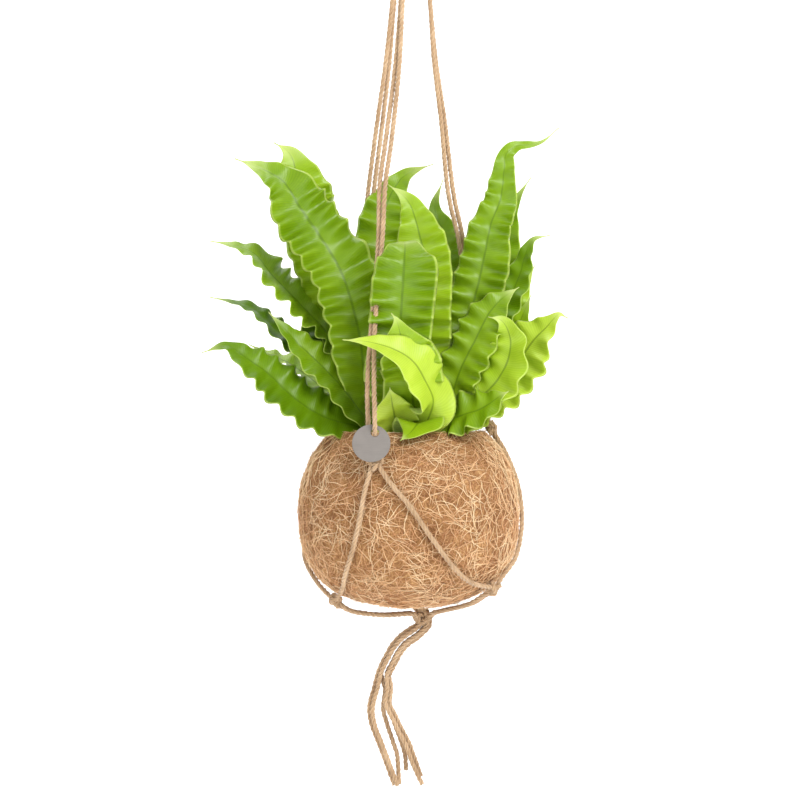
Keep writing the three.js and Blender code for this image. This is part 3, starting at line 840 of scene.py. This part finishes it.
def fibreTree():
    # scatters bent fibres over a surface; each is laid on it or stands off it
    tree = bpy.data.node_groups.new("fibreScatter", "GeometryNodeTree")
    face = tree.interface
    face.new_socket("Geometry", in_out="INPUT", socket_type="NodeSocketGeometry")
    numbers = (("Density", 1000.0), ("Length", 0.02), ("Radius", 0.0002), ("Meander", 0.004),
               ("Lift", 0.0003), ("Stray", 0.001), ("Tilt", 0.0), ("Lay", 1.0))
    for name, value in numbers:
        face.new_socket(name, in_out="INPUT", socket_type="NodeSocketFloat").default_value = value
    face.new_socket("Seed", in_out="INPUT", socket_type="NodeSocketInt")
    face.new_socket("Points", in_out="INPUT", socket_type="NodeSocketInt").default_value = 6
    face.new_socket("Material", in_out="INPUT", socket_type="NodeSocketMaterial")
    face.new_socket("Geometry", in_out="OUTPUT", socket_type="NodeSocketGeometry")
    wires = Wire(tree)
    given = wires.make("NodeGroupInput")
    value = {socket.name: Wire(tree, socket) for socket in given.socket.node.outputs if socket.name}
    seed = value["Seed"]

    def randomFloat(low, high, offset):
        mixed = wires.calc("ADD", seed, offset)
        return wires.make("FunctionNodeRandomValue", {"data_type": "FLOAT"},
                          {2: low, 3: high, "Seed": mixed}, 1)

    scatter = wires.make("GeometryNodeDistributePointsOnFaces", {}, {
        "Mesh": value["Geometry"], "Density": value["Density"], "Seed": seed})
    spin = wires.make("FunctionNodeAxisAngleToRotation", {}, {
        "Axis": (0, 0, 1), "Angle": randomFloat(0.0, fibre["fullTurn"], fibre["spinDraw"])})
    tilt = wires.make("FunctionNodeAxisAngleToRotation", {}, {
        "Axis": (0, 1, 0), "Angle": randomFloat(-1.0, 1.0, fibre["tiltDraw"]) * value["Tilt"]})
    turned = wires.make("FunctionNodeRotateRotation", {"rotation_space": "LOCAL"}, {
        "Rotation": scatter.other(2), "Rotate By": spin})
    turned = wires.make("FunctionNodeRotateRotation", {"rotation_space": "LOCAL"}, {
        "Rotation": turned, "Rotate By": tilt})
    line = wires.make("GeometryNodeCurvePrimitiveLine", {"mode": "POINTS"}, {
        "Start": (-0.5, 0, 0), "End": (0.5, 0, 0)})
    line = wires.make("GeometryNodeResampleCurve", {}, {"Curve": line, "Count": value["Points"]})
    size = randomFloat(fibre["shortest"], fibre["longest"], fibre["sizeDraw"]) * value["Length"]
    laid = wires.make("GeometryNodeInstanceOnPoints", {}, {
        "Points": scatter, "Instance": line, "Rotation": turned, "Scale": size})
    laid = wires.make("GeometryNodeStoreNamedAttribute", {"data_type": "FLOAT", "domain": "INSTANCE"}, {
        "Geometry": laid, "Name": "tone", "Value": randomFloat(0.0, 1.0, fibre["toneDraw"])})
    laid = wires.make("GeometryNodeRealizeInstances", {}, {"Geometry": laid})
    tone = wires.make("GeometryNodeInputNamedAttribute", {"data_type": "FLOAT"}, {"Name": "tone"})
    position = wires.make("GeometryNodeInputPosition")
    wander = wires.make("ShaderNodeTexNoise", {"noise_dimensions": "4D"}, {
        "Vector": position, "W": tone * fibre["wanderSpread"], "Scale": fibre["wanderScale"],
        "Detail": 1.0}, 1)
    wander = wires.vector("SUBTRACT", {0: wander, 1: (0.5, 0.5, 0.5)})
    wander = wires.vector("SCALE", {0: wander, "Scale": value["Meander"]})
    laid = wires.make("GeometryNodeSetPosition", {}, {"Geometry": laid, "Offset": wander})
    # lay the fibre on the surface, its ends straying off it
    near = wires.make("GeometryNodeProximity", {"target_element": "FACES"}, {0: value["Geometry"]})
    normal = wires.make("GeometryNodeInputNormal")
    normal = wires.make("GeometryNodeSampleNearestSurface", {"data_type": "FLOAT_VECTOR"}, {
        0: value["Geometry"], "Value": normal})
    along = wires.make("GeometryNodeSplineParameter")
    ends = wires.calc("ABSOLUTE", along - 0.5) * 2
    rise = value["Lift"] * (tone * 1.6 + 0.2) + value["Stray"] * (ends ** 4.0) * tone
    lifted = wires.vector("SCALE", {0: normal, "Scale": rise})
    target = wires.vector("ADD", {0: near, 1: lifted})
    current = wires.make("GeometryNodeInputPosition")
    final = wires.make("ShaderNodeMix", {"data_type": "VECTOR"},
                       {0: value["Lay"], 4: current, 5: target}, 1)
    laid = wires.make("GeometryNodeSetPosition", {}, {"Geometry": laid, "Position": final})
    taper = (1 - (ends ** 3.0) * 0.7) * value["Radius"] * (tone * 0.6 + 0.7)
    ring = wires.make("GeometryNodeCurvePrimitiveCircle", {"mode": "RADIUS"},
                      {"Resolution": 3, "Radius": 1.0})
    solid = wires.make("GeometryNodeCurveToMesh", {}, {
        "Curve": laid, "Profile Curve": ring, "Scale": taper, "Fill Caps": True})
    solid = wires.make("GeometryNodeRealizeInstances", {}, {"Geometry": solid})
    solid = wires.make("GeometryNodeSetMaterial", {}, {"Geometry": solid, "Material": value["Material"]})
    out = tree.nodes.new("NodeGroupOutput")
    tree.links.new(solid.socket, out.inputs[0])
    return tree


fibreScatter = fibreTree()


def grown(name, surface, settings, material):
    # runs the scatter on a copy of a surface and keeps its result as a plain mesh
    carrier = addObject(name + "Carrier", surface.data)
    modifier = carrier.modifiers.new("scatter", "NODES")
    modifier.node_group = fibreScatter
    for socket in fibreScatter.interface.items_tree:
        if socket.in_out == "INPUT" and socket.name in settings:
            modifier[socket.identifier] = settings[socket.name]
        if socket.in_out == "INPUT" and socket.name == "Material":
            modifier[socket.identifier] = material
    graph = bpy.context.evaluated_depsgraph_get()
    mesh = bpy.data.meshes.new_from_object(carrier.evaluated_get(graph))
    carrier.modifiers.remove(modifier)
    bpy.data.objects.remove(carrier)
    mesh.name = name
    mesh.materials.clear()
    mesh.materials.append(material)
    mesh.polygons.foreach_set("use_smooth", [True] * len(mesh.polygons))
    piece = addObject(name, mesh)
    triangles = sum(len(face.vertices) - 2 for face in mesh.polygons)
    print("grown", name, triangles, "triangles")
    return piece


coirStops = [(0.0, shade(108, 64, 32)), (0.3, shade(164, 108, 64)), (0.55, shade(206, 152, 102)),
             (0.8, shade(232, 190, 142)), (1.0, shade(246, 222, 180))]
coirFibre = fibreFinish("coirFibre", coirStops, 0.6)
fibreLayers = {
    "coirUnderFibres": {"Density": 37000.0, "Length": 0.017, "Radius": 0.00025, "Meander": 0.010,
                        "Lift": 0.0003, "Stray": 0.0006, "Seed": 3, "Points": 6},
    "coirMiddleFibres": {"Density": 37000.0, "Length": 0.021, "Radius": 0.00021, "Meander": 0.013,
                         "Lift": 0.0006, "Stray": 0.0010, "Seed": 17, "Points": 6},
    "coirTopFibres": {"Density": 31000.0, "Length": 0.024, "Radius": 0.00018, "Meander": 0.016,
                      "Lift": 0.0009, "Stray": 0.0022, "Seed": 29, "Points": 7},
}
for layerName, layerSettings in fibreLayers.items():
    layer = grown(layerName, coirBody, layerSettings, coirFibre)
    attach(layer, root)
print("coir fibres")


# Potting mix and rootstock


soil = {
    "gap": 0.0012,
    "rows": 40,
    "rings": 26,
    "around": 120,
    "crumbScale": 160,
    "crumb": 0.0016,
    "crumbLift": 0.0008,
}
crown = {
    "aboveSoil": 0.0005,
    "radius": 0.0088,
    "tipRadius": 0.0002,
    "height": 0.0115,
    "rounding": 2.4,
    "flute": 0.07,
    "rows": 9,
    "around": 28,
    "scales": 150,
    "scaleRadius": 0.0086,
    "scaleReach": 0.0105,
    "scaleLength": (0.004, 0.007),
    "scaleHalfWidth": (0.0008, 0.0014),
    "scaleThickness": 0.00015,
    "scaleCurl": 0.0008,
}


def addSoil():
    step = 0.001
    rows, count = soil["rows"], soil["around"]
    outline = potOutline(pot["wall"] + soil["gap"], pot["height"] - pot["soilBelowRim"] - step, rows)
    top = outline[-1]
    outline += [(top[0] * (1 - ring / soil["rings"]), top[1] + step)
                for ring in range(1, soil["rings"])]
    points = [(0, 0, outline[0][1] - pot["drop"])]
    for index, (radius, height) in enumerate(outline[1:]):
        for turn in range(count):
            x, y, z = around(360 * turn / count, radius, height - pot["drop"])
            if index >= rows:
                crumbs = noise.fractal(Vector((x, y, 0)) * soil["crumbScale"], 0.8, 2.1, 4)
                z += crumbs * soil["crumb"] + soil["crumbLift"]
            points.append((x, y, z))
    points.append((0, 0, outline[-1][1] - pot["drop"] + step))
    mesh = meshFrom("pottingMix", points, turnedFaces(len(outline) - 1, count))
    mesh.materials.append(soilFinish("pottingMixFinish", [
        (0.3, shade(24, 16, 10)), (0.5, shade(58, 40, 26)), (0.75, shade(112, 84, 58))], 700.0))
    settle(addObject("pottingMix", mesh), "root_ball")


def addCrown():
    # a short rootstock under overlapping papery scales
    generator = random.Random(5)
    rows, count = crown["rows"], crown["around"]
    foot = soilLevel + crown["aboveSoil"]
    rings = []
    for row in range(rows + 1):
        share = row / rows
        radius = crown["radius"] * (1 - share ** crown["rounding"]) ** 0.5 + crown["tipRadius"]
        ring = []
        for turn in range(count):
            fluted = radius * (1 + crown["flute"] * math.sin(turn * 3 + row))
            ring.append(around(360 * turn / count, fluted, foot + crown["height"] * share))
        rings.append(ring)
    body, faces = ringTube(np.array(rings))
    points = list(body)
    for _ in range(crown["scales"]):
        share = generator.random() ** 0.8
        azimuth = generator.uniform(0, 360)
        radius = crown["scaleRadius"] * (1 - share ** crown["rounding"]) ** 0.5
        base = Vector(around(azimuth, radius, foot + crown["scaleReach"] * share))
        out = Vector(around(azimuth, 1, 0))
        side = Vector((-out.y, out.x, 0))
        rise = (out * generator.uniform(0.1, 0.6) + Vector((0, 0, 1))).normalized()
        length = generator.uniform(*crown["scaleLength"])
        wide = generator.uniform(*crown["scaleHalfWidth"])
        first = len(points)
        thick = out * crown["scaleThickness"]
        for part, spread in ((0.0, 0.6), (0.4, 1.0), (1.0, 0.05)):
            middle = base + rise * (length * part) + out * (crown["scaleCurl"] * part * part)
            points.extend([tuple(middle - side * wide * spread), tuple(middle + side * wide * spread),
                           tuple(middle + thick)])
        for low in (first, first + 3):
            for a, b in ((0, 1), (1, 2), (2, 0)):
                faces.append((low + a, low + b, low + 3 + b, low + 3 + a))
        faces.append((first + 2, first + 1, first))
        faces.append((first + 6, first + 7, first + 8))
    mesh = meshFrom("rootstock", points, faces)
    mesh.materials.append(soilFinish("rootstockScales", [
        (0.3, shade(52, 36, 20)), (0.55, shade(98, 72, 42)), (0.8, shade(150, 118, 74))], 300.0))
    settle(addObject("rootstock", mesh), "fern_crown")


addSoil()
addCrown()
print("potting mix and rootstock")


# Tag

tag = {
    "diameter": 0.030,
    "thickness": 0.0011,
    "hole": 0.0064,
    "holeAbove": 0.0084,
    "holeAside": 0.0028,
    "tilt": 15,
    "holePlace": (-0.0266, -0.084, -0.5386),
    "edge": 0.00025,
    "around": 96,
}


def addTag():
    # rings of points from the hole's edge out to the rim, front and back, with eased edges
    count, half, ease = tag["around"], tag["thickness"] / 2, tag["edge"]
    turns = 2 * math.pi * np.arange(count) / count
    circle = np.stack([np.cos(turns), np.sin(turns)], axis=1)
    inner = np.array([tag["holeAside"], tag["holeAbove"]]) + circle * (tag["hole"] / 2)
    outer = circle * (tag["diameter"] / 2)
    # for each ring: share of the way from hole to rim, growth outwards, level
    stations = [(0, 0, half - ease), (0, ease, half), (0.3, 0, half), (0.6, 0, half), (0.85, 0, half),
                (1, -ease, half), (1, 0, half - ease), (1, 0, ease - half), (1, -ease, -half),
                (0.6, 0, -half), (0, ease, -half), (0, 0, ease - half)]
    rings = []
    for share, grow, level in stations:
        flat = inner * (1 - share) + outer * share + circle * grow
        rings.append(np.column_stack([flat, np.full(count, level)]))
    points, faces = ringTube(np.array(rings[::-1]), closed=True)
    tilt = math.radians(90 - tag["tilt"])
    placeX, placeY, placeZ = tag["holePlace"]
    placed = []
    for x, y, z in points:
        x, y = x - tag["holeAside"], y - tag["holeAbove"]
        placed.append((x + placeX, y * math.cos(tilt) - z * math.sin(tilt) + placeY,
                       y * math.sin(tilt) + z * math.cos(tilt) + placeZ))
    mesh = meshFrom("roundTag", placed, faces, smooth=False)
    mesh.materials.append(tagFinish())
    settle(addObject("roundTag", mesh), "round_tag")


addTag()
print("tag")


# Fronds

blade = {
    "rowSpacing": 0.0016,
    "columns": 22,
    "midribThickness": 0.0010,
    "edgeThickness": 0.00040,
    "wave": 0.0158,         # distance from one ruffle to the next along the margin
    "ruffle": 0.13,         # height of a ruffle, as a share of the width
    "fold": 14,             # degrees that each half rises from the midrib
    "fullness": 1.14,       # the ruffles draw the blade in, so it is cut a little wider
}

# Each frond: full width, way its upper side looks, tone, and its midrib as x, y and height
# above the rim, in millimetres
fronds = {
    "left_tall": (48, (0.2, -1, 0.2), 0.42, [
        (-12, -8, -8), (-30, -14, 10), (-40, -24, 79), (-54, -28, 128), (-71, -26, 157),
        (-89, -24, 183), (-101, -24, 202), (-120, -27, 213), (-140, -32, 220)]),
    "left_tall_back": (38, (0.1, -1, 0.3), 0.62, [
        (-10, 7, -8), (-23, 12, 12), (-52, 18, 92), (-74, 20, 149), (-89, 22, 190),
        (-93, 24, 214), (-99, 26, 231), (-112, 28, 240)]),
    "left_middle": (42, (0.6, -0.45, 0.7), 0.48, [
        (-16, 0, -8), (-33, 1, 7), (-60, 0, 71), (-89, -2, 104), (-112, -4, 128),
        (-126, -5, 145), (-140, -5, 151), (-163, -4, 156)]),
    "left_low": (34, (0.5, -0.4, 0.8), 0.2, [
        (-18, -5, -8), (-35, -6, 5), (-60, -8, 40), (-89, -9, 66), (-112, -10, 86),
        (-126, -10, 99), (-142, -10, 105), (-163, -10, 110)]),
    "left_lowest": (44, (0.35, -0.7, 0.65), 0.28, [
        (-19, -12, -8), (-38, -20, 3), (-68, -29, 12), (-93, -33, 28), (-113, -35, 47),
        (-130, -36, 59), (-146, -35, 69), (-166, -34, 64)]),
    "left_back_pale": (40, (0.3, -0.3, 0.9), 0.72, [
        (-18, 5, -8), (-36, 15, 4), (-72, 27, 36), (-101, 34, 57), (-120, 38, 65), (-134, 42, 73)]),
    "centre_broad": (42, (0, -0.9, 0.45), 0.4, [
        (-3, -14, -8), (-7, -24, 8), (-8, -50, 59), (-6, -64, 96), (-4, -66, 128),
        (-3, -56, 150), (-4, -44, 152)]),
    "centre_tall": (38, (0, -1, 0.2), 0.62, [
        (5, -8, -3), (6, -12, 10), (11, -24, 59), (12, -32, 92), (14, -36, 128),
        (8, -36, 161), (-1, -36, 186), (-17, -37, 199)]),
    "back_centre_left": (38, (0, -1, 0.2), 0.48, [
        (-5, 11, -8), (-8, 14, 10), (-16, 18, 83), (-22, 23, 132), (-23, 28, 165),
        (-16, 32, 194), (-3, 34, 213), (21, 36, 223)]),
    "back_centre_right": (32, (0, -1, 0.2), 0.36, [
        (6, 10, -5), (10, 14, 10), (26, 18, 80), (31, 22, 132), (29, 26, 165),
        (22, 28, 186), (29, 30, 210)]),
    "right_tall": (42, (-0.1, -1, 0.2), 0.45, [
        (12, -2, -4), (18, -5, 6), (42, -12, 71), (54, -15, 110), (62, -15, 145), (67, -12, 169),
        (75, -8, 190), (78, -4, 213), (80, -2, 227), (87, 0, 233), (108, 3, 237), (124, 8, 250)]),
    "right_tall_back": (30, (-0.2, -1, 0.2), 0.4, [
        (11, 9, -7), (22, 16, 10), (54, 25, 83), (73, 26, 132), (81, 25, 161),
        (85, 24, 182), (92, 23, 196), (102, 22, 211)]),
    "right_thin": (24, (-0.5, -1, 0.4), 0.35, [
        (16, 0, -8), (28, -3, 8), (64, -5, 75), (82, -2, 108), (91, 0, 128),
        (96, 1, 145), (102, 2, 157), (116, 3, 161)]),
    "right_pale_back": (26, (-0.3, -1, 0.5), 0.75, [
        (15, 8, -8), (30, 20, 8), (67, 34, 67), (87, 38, 100), (97, 40, 120), (106, 42, 139)]),
    "right_lime_back": (26, (-0.4, -1, 0.5), 0.66, [
        (18, 5, -8), (34, 14, 6), (67, 24, 50), (87, 27, 79), (95, 27, 96), (102, 26, 114)]),
    "right_broad": (44, (-0.5, -0.8, 0.5), 0.85, [
        (19, -4, -8), (32, -8, 4), (58, -14, 24), (83, -16, 46), (99, -18, 71),
        (112, -19, 85), (122, -20, 95), (129, -20, 92)]),
    "right_curved": (36, (-0.5, -0.8, 0.3), 0.7, [
        (17, -14, -8), (32, -27, 5), (50, -38, 22), (68, -44, 38), (79, -47, 57),
        (81, -49, 75), (74, -51, 89), (63, -52, 92)]),
    "right_front_long": (34, (-0.3, -0.9, 0.3), 0.5, [
        (13, -13, -8), (23, -24, 6), (34, -31, 28), (42, -35, 51), (54, -37, 75),
        (65, -35, 96), (76, -32, 108), (89, -28, 117)]),
    "right_front_low": (34, (-0.3, -0.7, 0.6), 0.45, [
        (14, -20, -8), (25, -34, 5), (41, -47, 13), (58, -55, 19), (71, -60, 28), (79, -63, 33)]),
    "front_bright": (34, (0.2, -0.8, 0.6), 0.85, [
        (6, -26, -8), (13, -42, 5), (19, -58, 25), (13, -69, 40), (3, -77, 56),
        (-11, -81, 65), (-31, -83, 71), (-52, -84, 73)]),
    "front_centre": (40, (0, -0.9, 0.4), 0.6, [
        (-1, -21, -8), (4, -34, 6), (3, -50, 30), (0, -62, 55), (-6, -72, 75), (-10, -76, 89),
        (-14, -78, 94)]),
    "front_pale": (30, (0, -0.9, 0.5), 0.9, [
        (-8, -22, -8), (-10, -40, 3), (-12, -54, 16), (-14, -62, 28), (-15, -66, 36)]),
    "front_over_rim": (26, (0, -0.7, 0.8), 0.62, [
        (1, -30, -8), (6, -46, 4), (7, -62, 7), (1, -73, 0), (-7, -77, -6)]),
    "left_inner_wavy": (30, (0.4, -0.8, 0.5), 0.4, [
        (-14, -13, -8), (-33, -20, 9), (-54, -24, 36), (-71, -25, 54), (-90, -26, 72),
        (-104, -28, 87), (-113, -29, 97)]),
    "left_inner_dark": (32, (0.3, -0.9, 0.3), 0.1, [
        (-13, 4, -8), (-30, 9, 7), (-52, 14, 40), (-68, 20, 70), (-80, 25, 95), (-88, 28, 113)]),
}

# Where a frond differs from the rest: how strong its ruffles are, how much wider it is
# cut, and the share of its length where it starts to narrow
habits = {
    "front_bright": (0.22, 1.1, 0.5),
    "front_centre": (0.7, 1.1, 0.62),
    "front_pale": (0.6, 1.1, 0.6),
    "front_over_rim": (0.35, 1.35, 0.55),
    "left_tall_back": (0.9, 1.25, 0.78),
    "left_middle": (0.75, 1.1, 0.66),
    "left_low": (0.7, 1.0, 0.6),
    "left_lowest": (0.7, 0.95, 0.55),
    "left_inner_wavy": (0.75, 1.0, 0.6),
    "centre_broad": (1.0, 1.1, 0.8),
    "back_centre_left": (1.1, 1.0, 0.66),
    "back_centre_right": (1.1, 0.95, 0.6),
    "right_tall": (1.15, 0.98, 0.38),
    "right_tall_back": (0.9, 1.0, 0.6),
    "right_curved": (0.8, 1.1, 0.66),
    "right_broad": (0.7, 1.1, 0.66),
}
usualHabit = (1.0, 1.0, 0.7)

# The fronds of the far side: azimuth, distance of the root and of the tip from the axis,
# height, width, tone
farFronds = {
    "far_right_low": (137, 28, 108, 80, 36, 0.45),
    "far_right_tall": (154, 21, 88, 160, 36, 0.3),
    "far_right_arched": (170, 28, 112, 118, 40, 0.5),
    "far_middle_tall": (179, 21, 84, 188, 36, 0.25),
    "far_middle_low": (197, 28, 112, 84, 38, 0.65),
    "far_left_tall": (212, 19, 74, 168, 34, 0.5),
    "far_left_arched": (232, 28, 112, 112, 34, 0.3),
}


def farPath(azimuth, rootAt, reach, height):
    rise = -9.7
    path = []
    for share in (0, 0.15, 0.35, 0.55, 0.75, 0.9, 1):
        out = rootAt + (reach - rootAt) * share ** 1.6
        up = rise + (height - rise) * math.sin(share * math.pi * 0.54) / math.sin(math.pi * 0.54)
        path.append(around(azimuth, out, up))
    return path


def smoothStep(low, high, value):
    share = np.clip((value - low) / (high - low), 0, 1)
    return share * share * (3 - 2 * share)


def drift(generator, run, scale):
    # a slow random line, the same on each run
    knotsAt = np.arange(0, run[-1] / scale + 3)
    values = np.array([generator.uniform(-1, 1) for _ in knotsAt])
    return np.interp(run / scale, knotsAt, values)


def addFrond(name, width, face, tone, path):
    generator = random.Random(name)
    frill, broad, narrowsAt = habits.get(name, usualHabit)
    width = width * blade["fullness"] * broad * mm
    spine = smoothLine([(x * mm, y * mm, rimLevel + height * mm) for x, y, height in path],
                       blade["rowSpacing"])
    run = runAlong(spine)
    share = run / run[-1]
    along = unit(np.gradient(spine, axis=0))
    across = unit(np.cross(along, np.array(face, float)))
    up = np.cross(across, along)
    # half width: a narrow stalk, a long blade, a drawn-out tip
    swell = 0.12 + 0.88 * smoothStep(-0.05, 0.36, share)
    taper = (1 - smoothStep(narrowsAt, 0.99, share)) ** 0.72
    half = width / 2 * np.minimum(swell, 1) * np.maximum(taper, 0.02)
    half = np.maximum(half, 0.0016 * (1 - share) + 0.0004)
    columns = blade["columns"]
    place = np.linspace(-1, 1, columns + 1)
    sideways = np.sign(place)
    out = np.abs(place)
    fold = math.radians(blade["fold"])
    facing = abs(face[1]) / math.sqrt(sum(value * value for value in face))
    strength = (blade["ruffle"] * frill * (0.45 + 0.55 * facing) * smoothStep(0.06, 0.4, share)
                * (1 - 0.75 * smoothStep(0.8, 1.0, share)))
    wave = blade["wave"] * (0.9 + 0.2 * generator.random())
    phase = {-1: generator.uniform(0, 6.28), 1: generator.uniform(0, 6.28), 0: 0}
    slow = {side: drift(generator, run, 0.022) for side in (-1, 0, 1)}
    points = np.zeros((len(spine), columns + 1, 3))
    for column, (side, reach) in enumerate(zip(sideways, out)):
        turn = 2 * math.pi * run / wave + phase[int(side)] + 1.3 * slow[int(side)] - 0.6 * reach
        ripple = np.sin(turn) + 0.3 * np.sin(turn * 0.43 + 1.7)
        height = ripple * strength * half * 2 * reach
        swirl = np.cos(turn) * strength * half * 0.3 * reach ** 1.6
        lean = 1 + 0.1 * slow[int(side)] * reach
        sidewise = half * place[column] * math.cos(fold) * lean
        rise = half * reach * math.sin(fold) * (1 - 0.35 * reach) + height
        points[:, column] = (spine + across * sidewise[:, None] + up * rise[:, None]
                             + along * swirl[:, None])
    stepAlong = np.gradient(points, axis=0)
    stepAcross = np.gradient(points, axis=1)
    normals = unit(np.cross(stepAcross, stepAlong))
    thick = (blade["edgeThickness"] + (blade["midribThickness"] - blade["edgeThickness"])
             * np.exp(-(place / 0.07) ** 2)) / 2
    upper = points + normals * thick[None, :, None]
    lower = points - normals * thick[None, :, None]
    upper[:, [0, -1]] = points[:, [0, -1]]
    upper[[0, -1]] = points[[0, -1]]
    rows = len(spine)
    shown, hidden = rows * (columns + 1), (rows - 2) * (columns - 1)
    # both sides share the points of the outline
    indexUpper = np.arange(shown).reshape(rows, columns + 1)
    indexLower = indexUpper.copy()
    indexLower[1:-1, 1:-1] = np.arange(hidden).reshape(rows - 2, columns - 1) + shown
    everyPoint = np.vstack([upper.reshape(-1, 3), lower[1:-1, 1:-1].reshape(-1, 3)])
    a, b, c, d = (indexUpper[:-1, :-1], indexUpper[:-1, 1:], indexUpper[1:, 1:], indexUpper[1:, :-1])
    topFaces = np.stack([a, b, c, d], axis=-1).reshape(-1, 4)
    a, b, c, d = (indexLower[:-1, :-1], indexLower[:-1, 1:], indexLower[1:, 1:], indexLower[1:, :-1])
    underFaces = np.stack([d, c, b, a], axis=-1).reshape(-1, 4)
    mesh = meshFrom(name, everyPoint, np.vstack([topFaces, underFaces]).tolist())
    gridRun = np.stack(np.broadcast_arrays(run[:, None], place[None, :]), axis=-1)
    marks = np.vstack([gridRun.reshape(-1, 2), gridRun[1:-1, 1:-1].reshape(-1, 2)])
    addRun(mesh, marks)
    addValues(mesh, "under", np.concatenate([np.zeros(shown), np.ones(hidden)]))
    addValues(mesh, "tone", np.full(len(everyPoint), tone))
    drawn = np.broadcast_to(smoothStep(0.88, 1.0, share)[:, None], (rows, columns + 1))
    addValues(mesh, "tip", np.concatenate([drawn.ravel(), drawn[1:-1, 1:-1].ravel()]) * 0.8)
    mesh.materials.append(frondSkin)
    settle(addObject(name, mesh), "frond_" + name)


for frondName, (width, face, tone, path) in fronds.items():
    addFrond(frondName, width, face, tone, path)
for frondName, (azimuth, rootAt, reach, height, width, tone) in farFronds.items():
    addFrond(frondName, width, around(azimuth, -1, 0.9), tone, farPath(azimuth, rootAt, reach, height))
print("fronds")


# Loose hairs on the twine

twineHair = {"Density": 52000.0, "Length": 0.0062, "Radius": 0.000085, "Meander": 0.004, "Lift": 0.0,
             "Stray": 0.0, "Tilt": 0.55, "Lay": 0.0, "Seed": 41, "Points": 4}
for number, carrier in enumerate(twinePieces + knotPieces):
    settings = {**twineHair, "Seed": twineHair["Seed"] + number}
    hairs = grown(carrier.name + "Hairs", carrier, settings, jute)
    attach(hairs, root)
print("twine hairs")
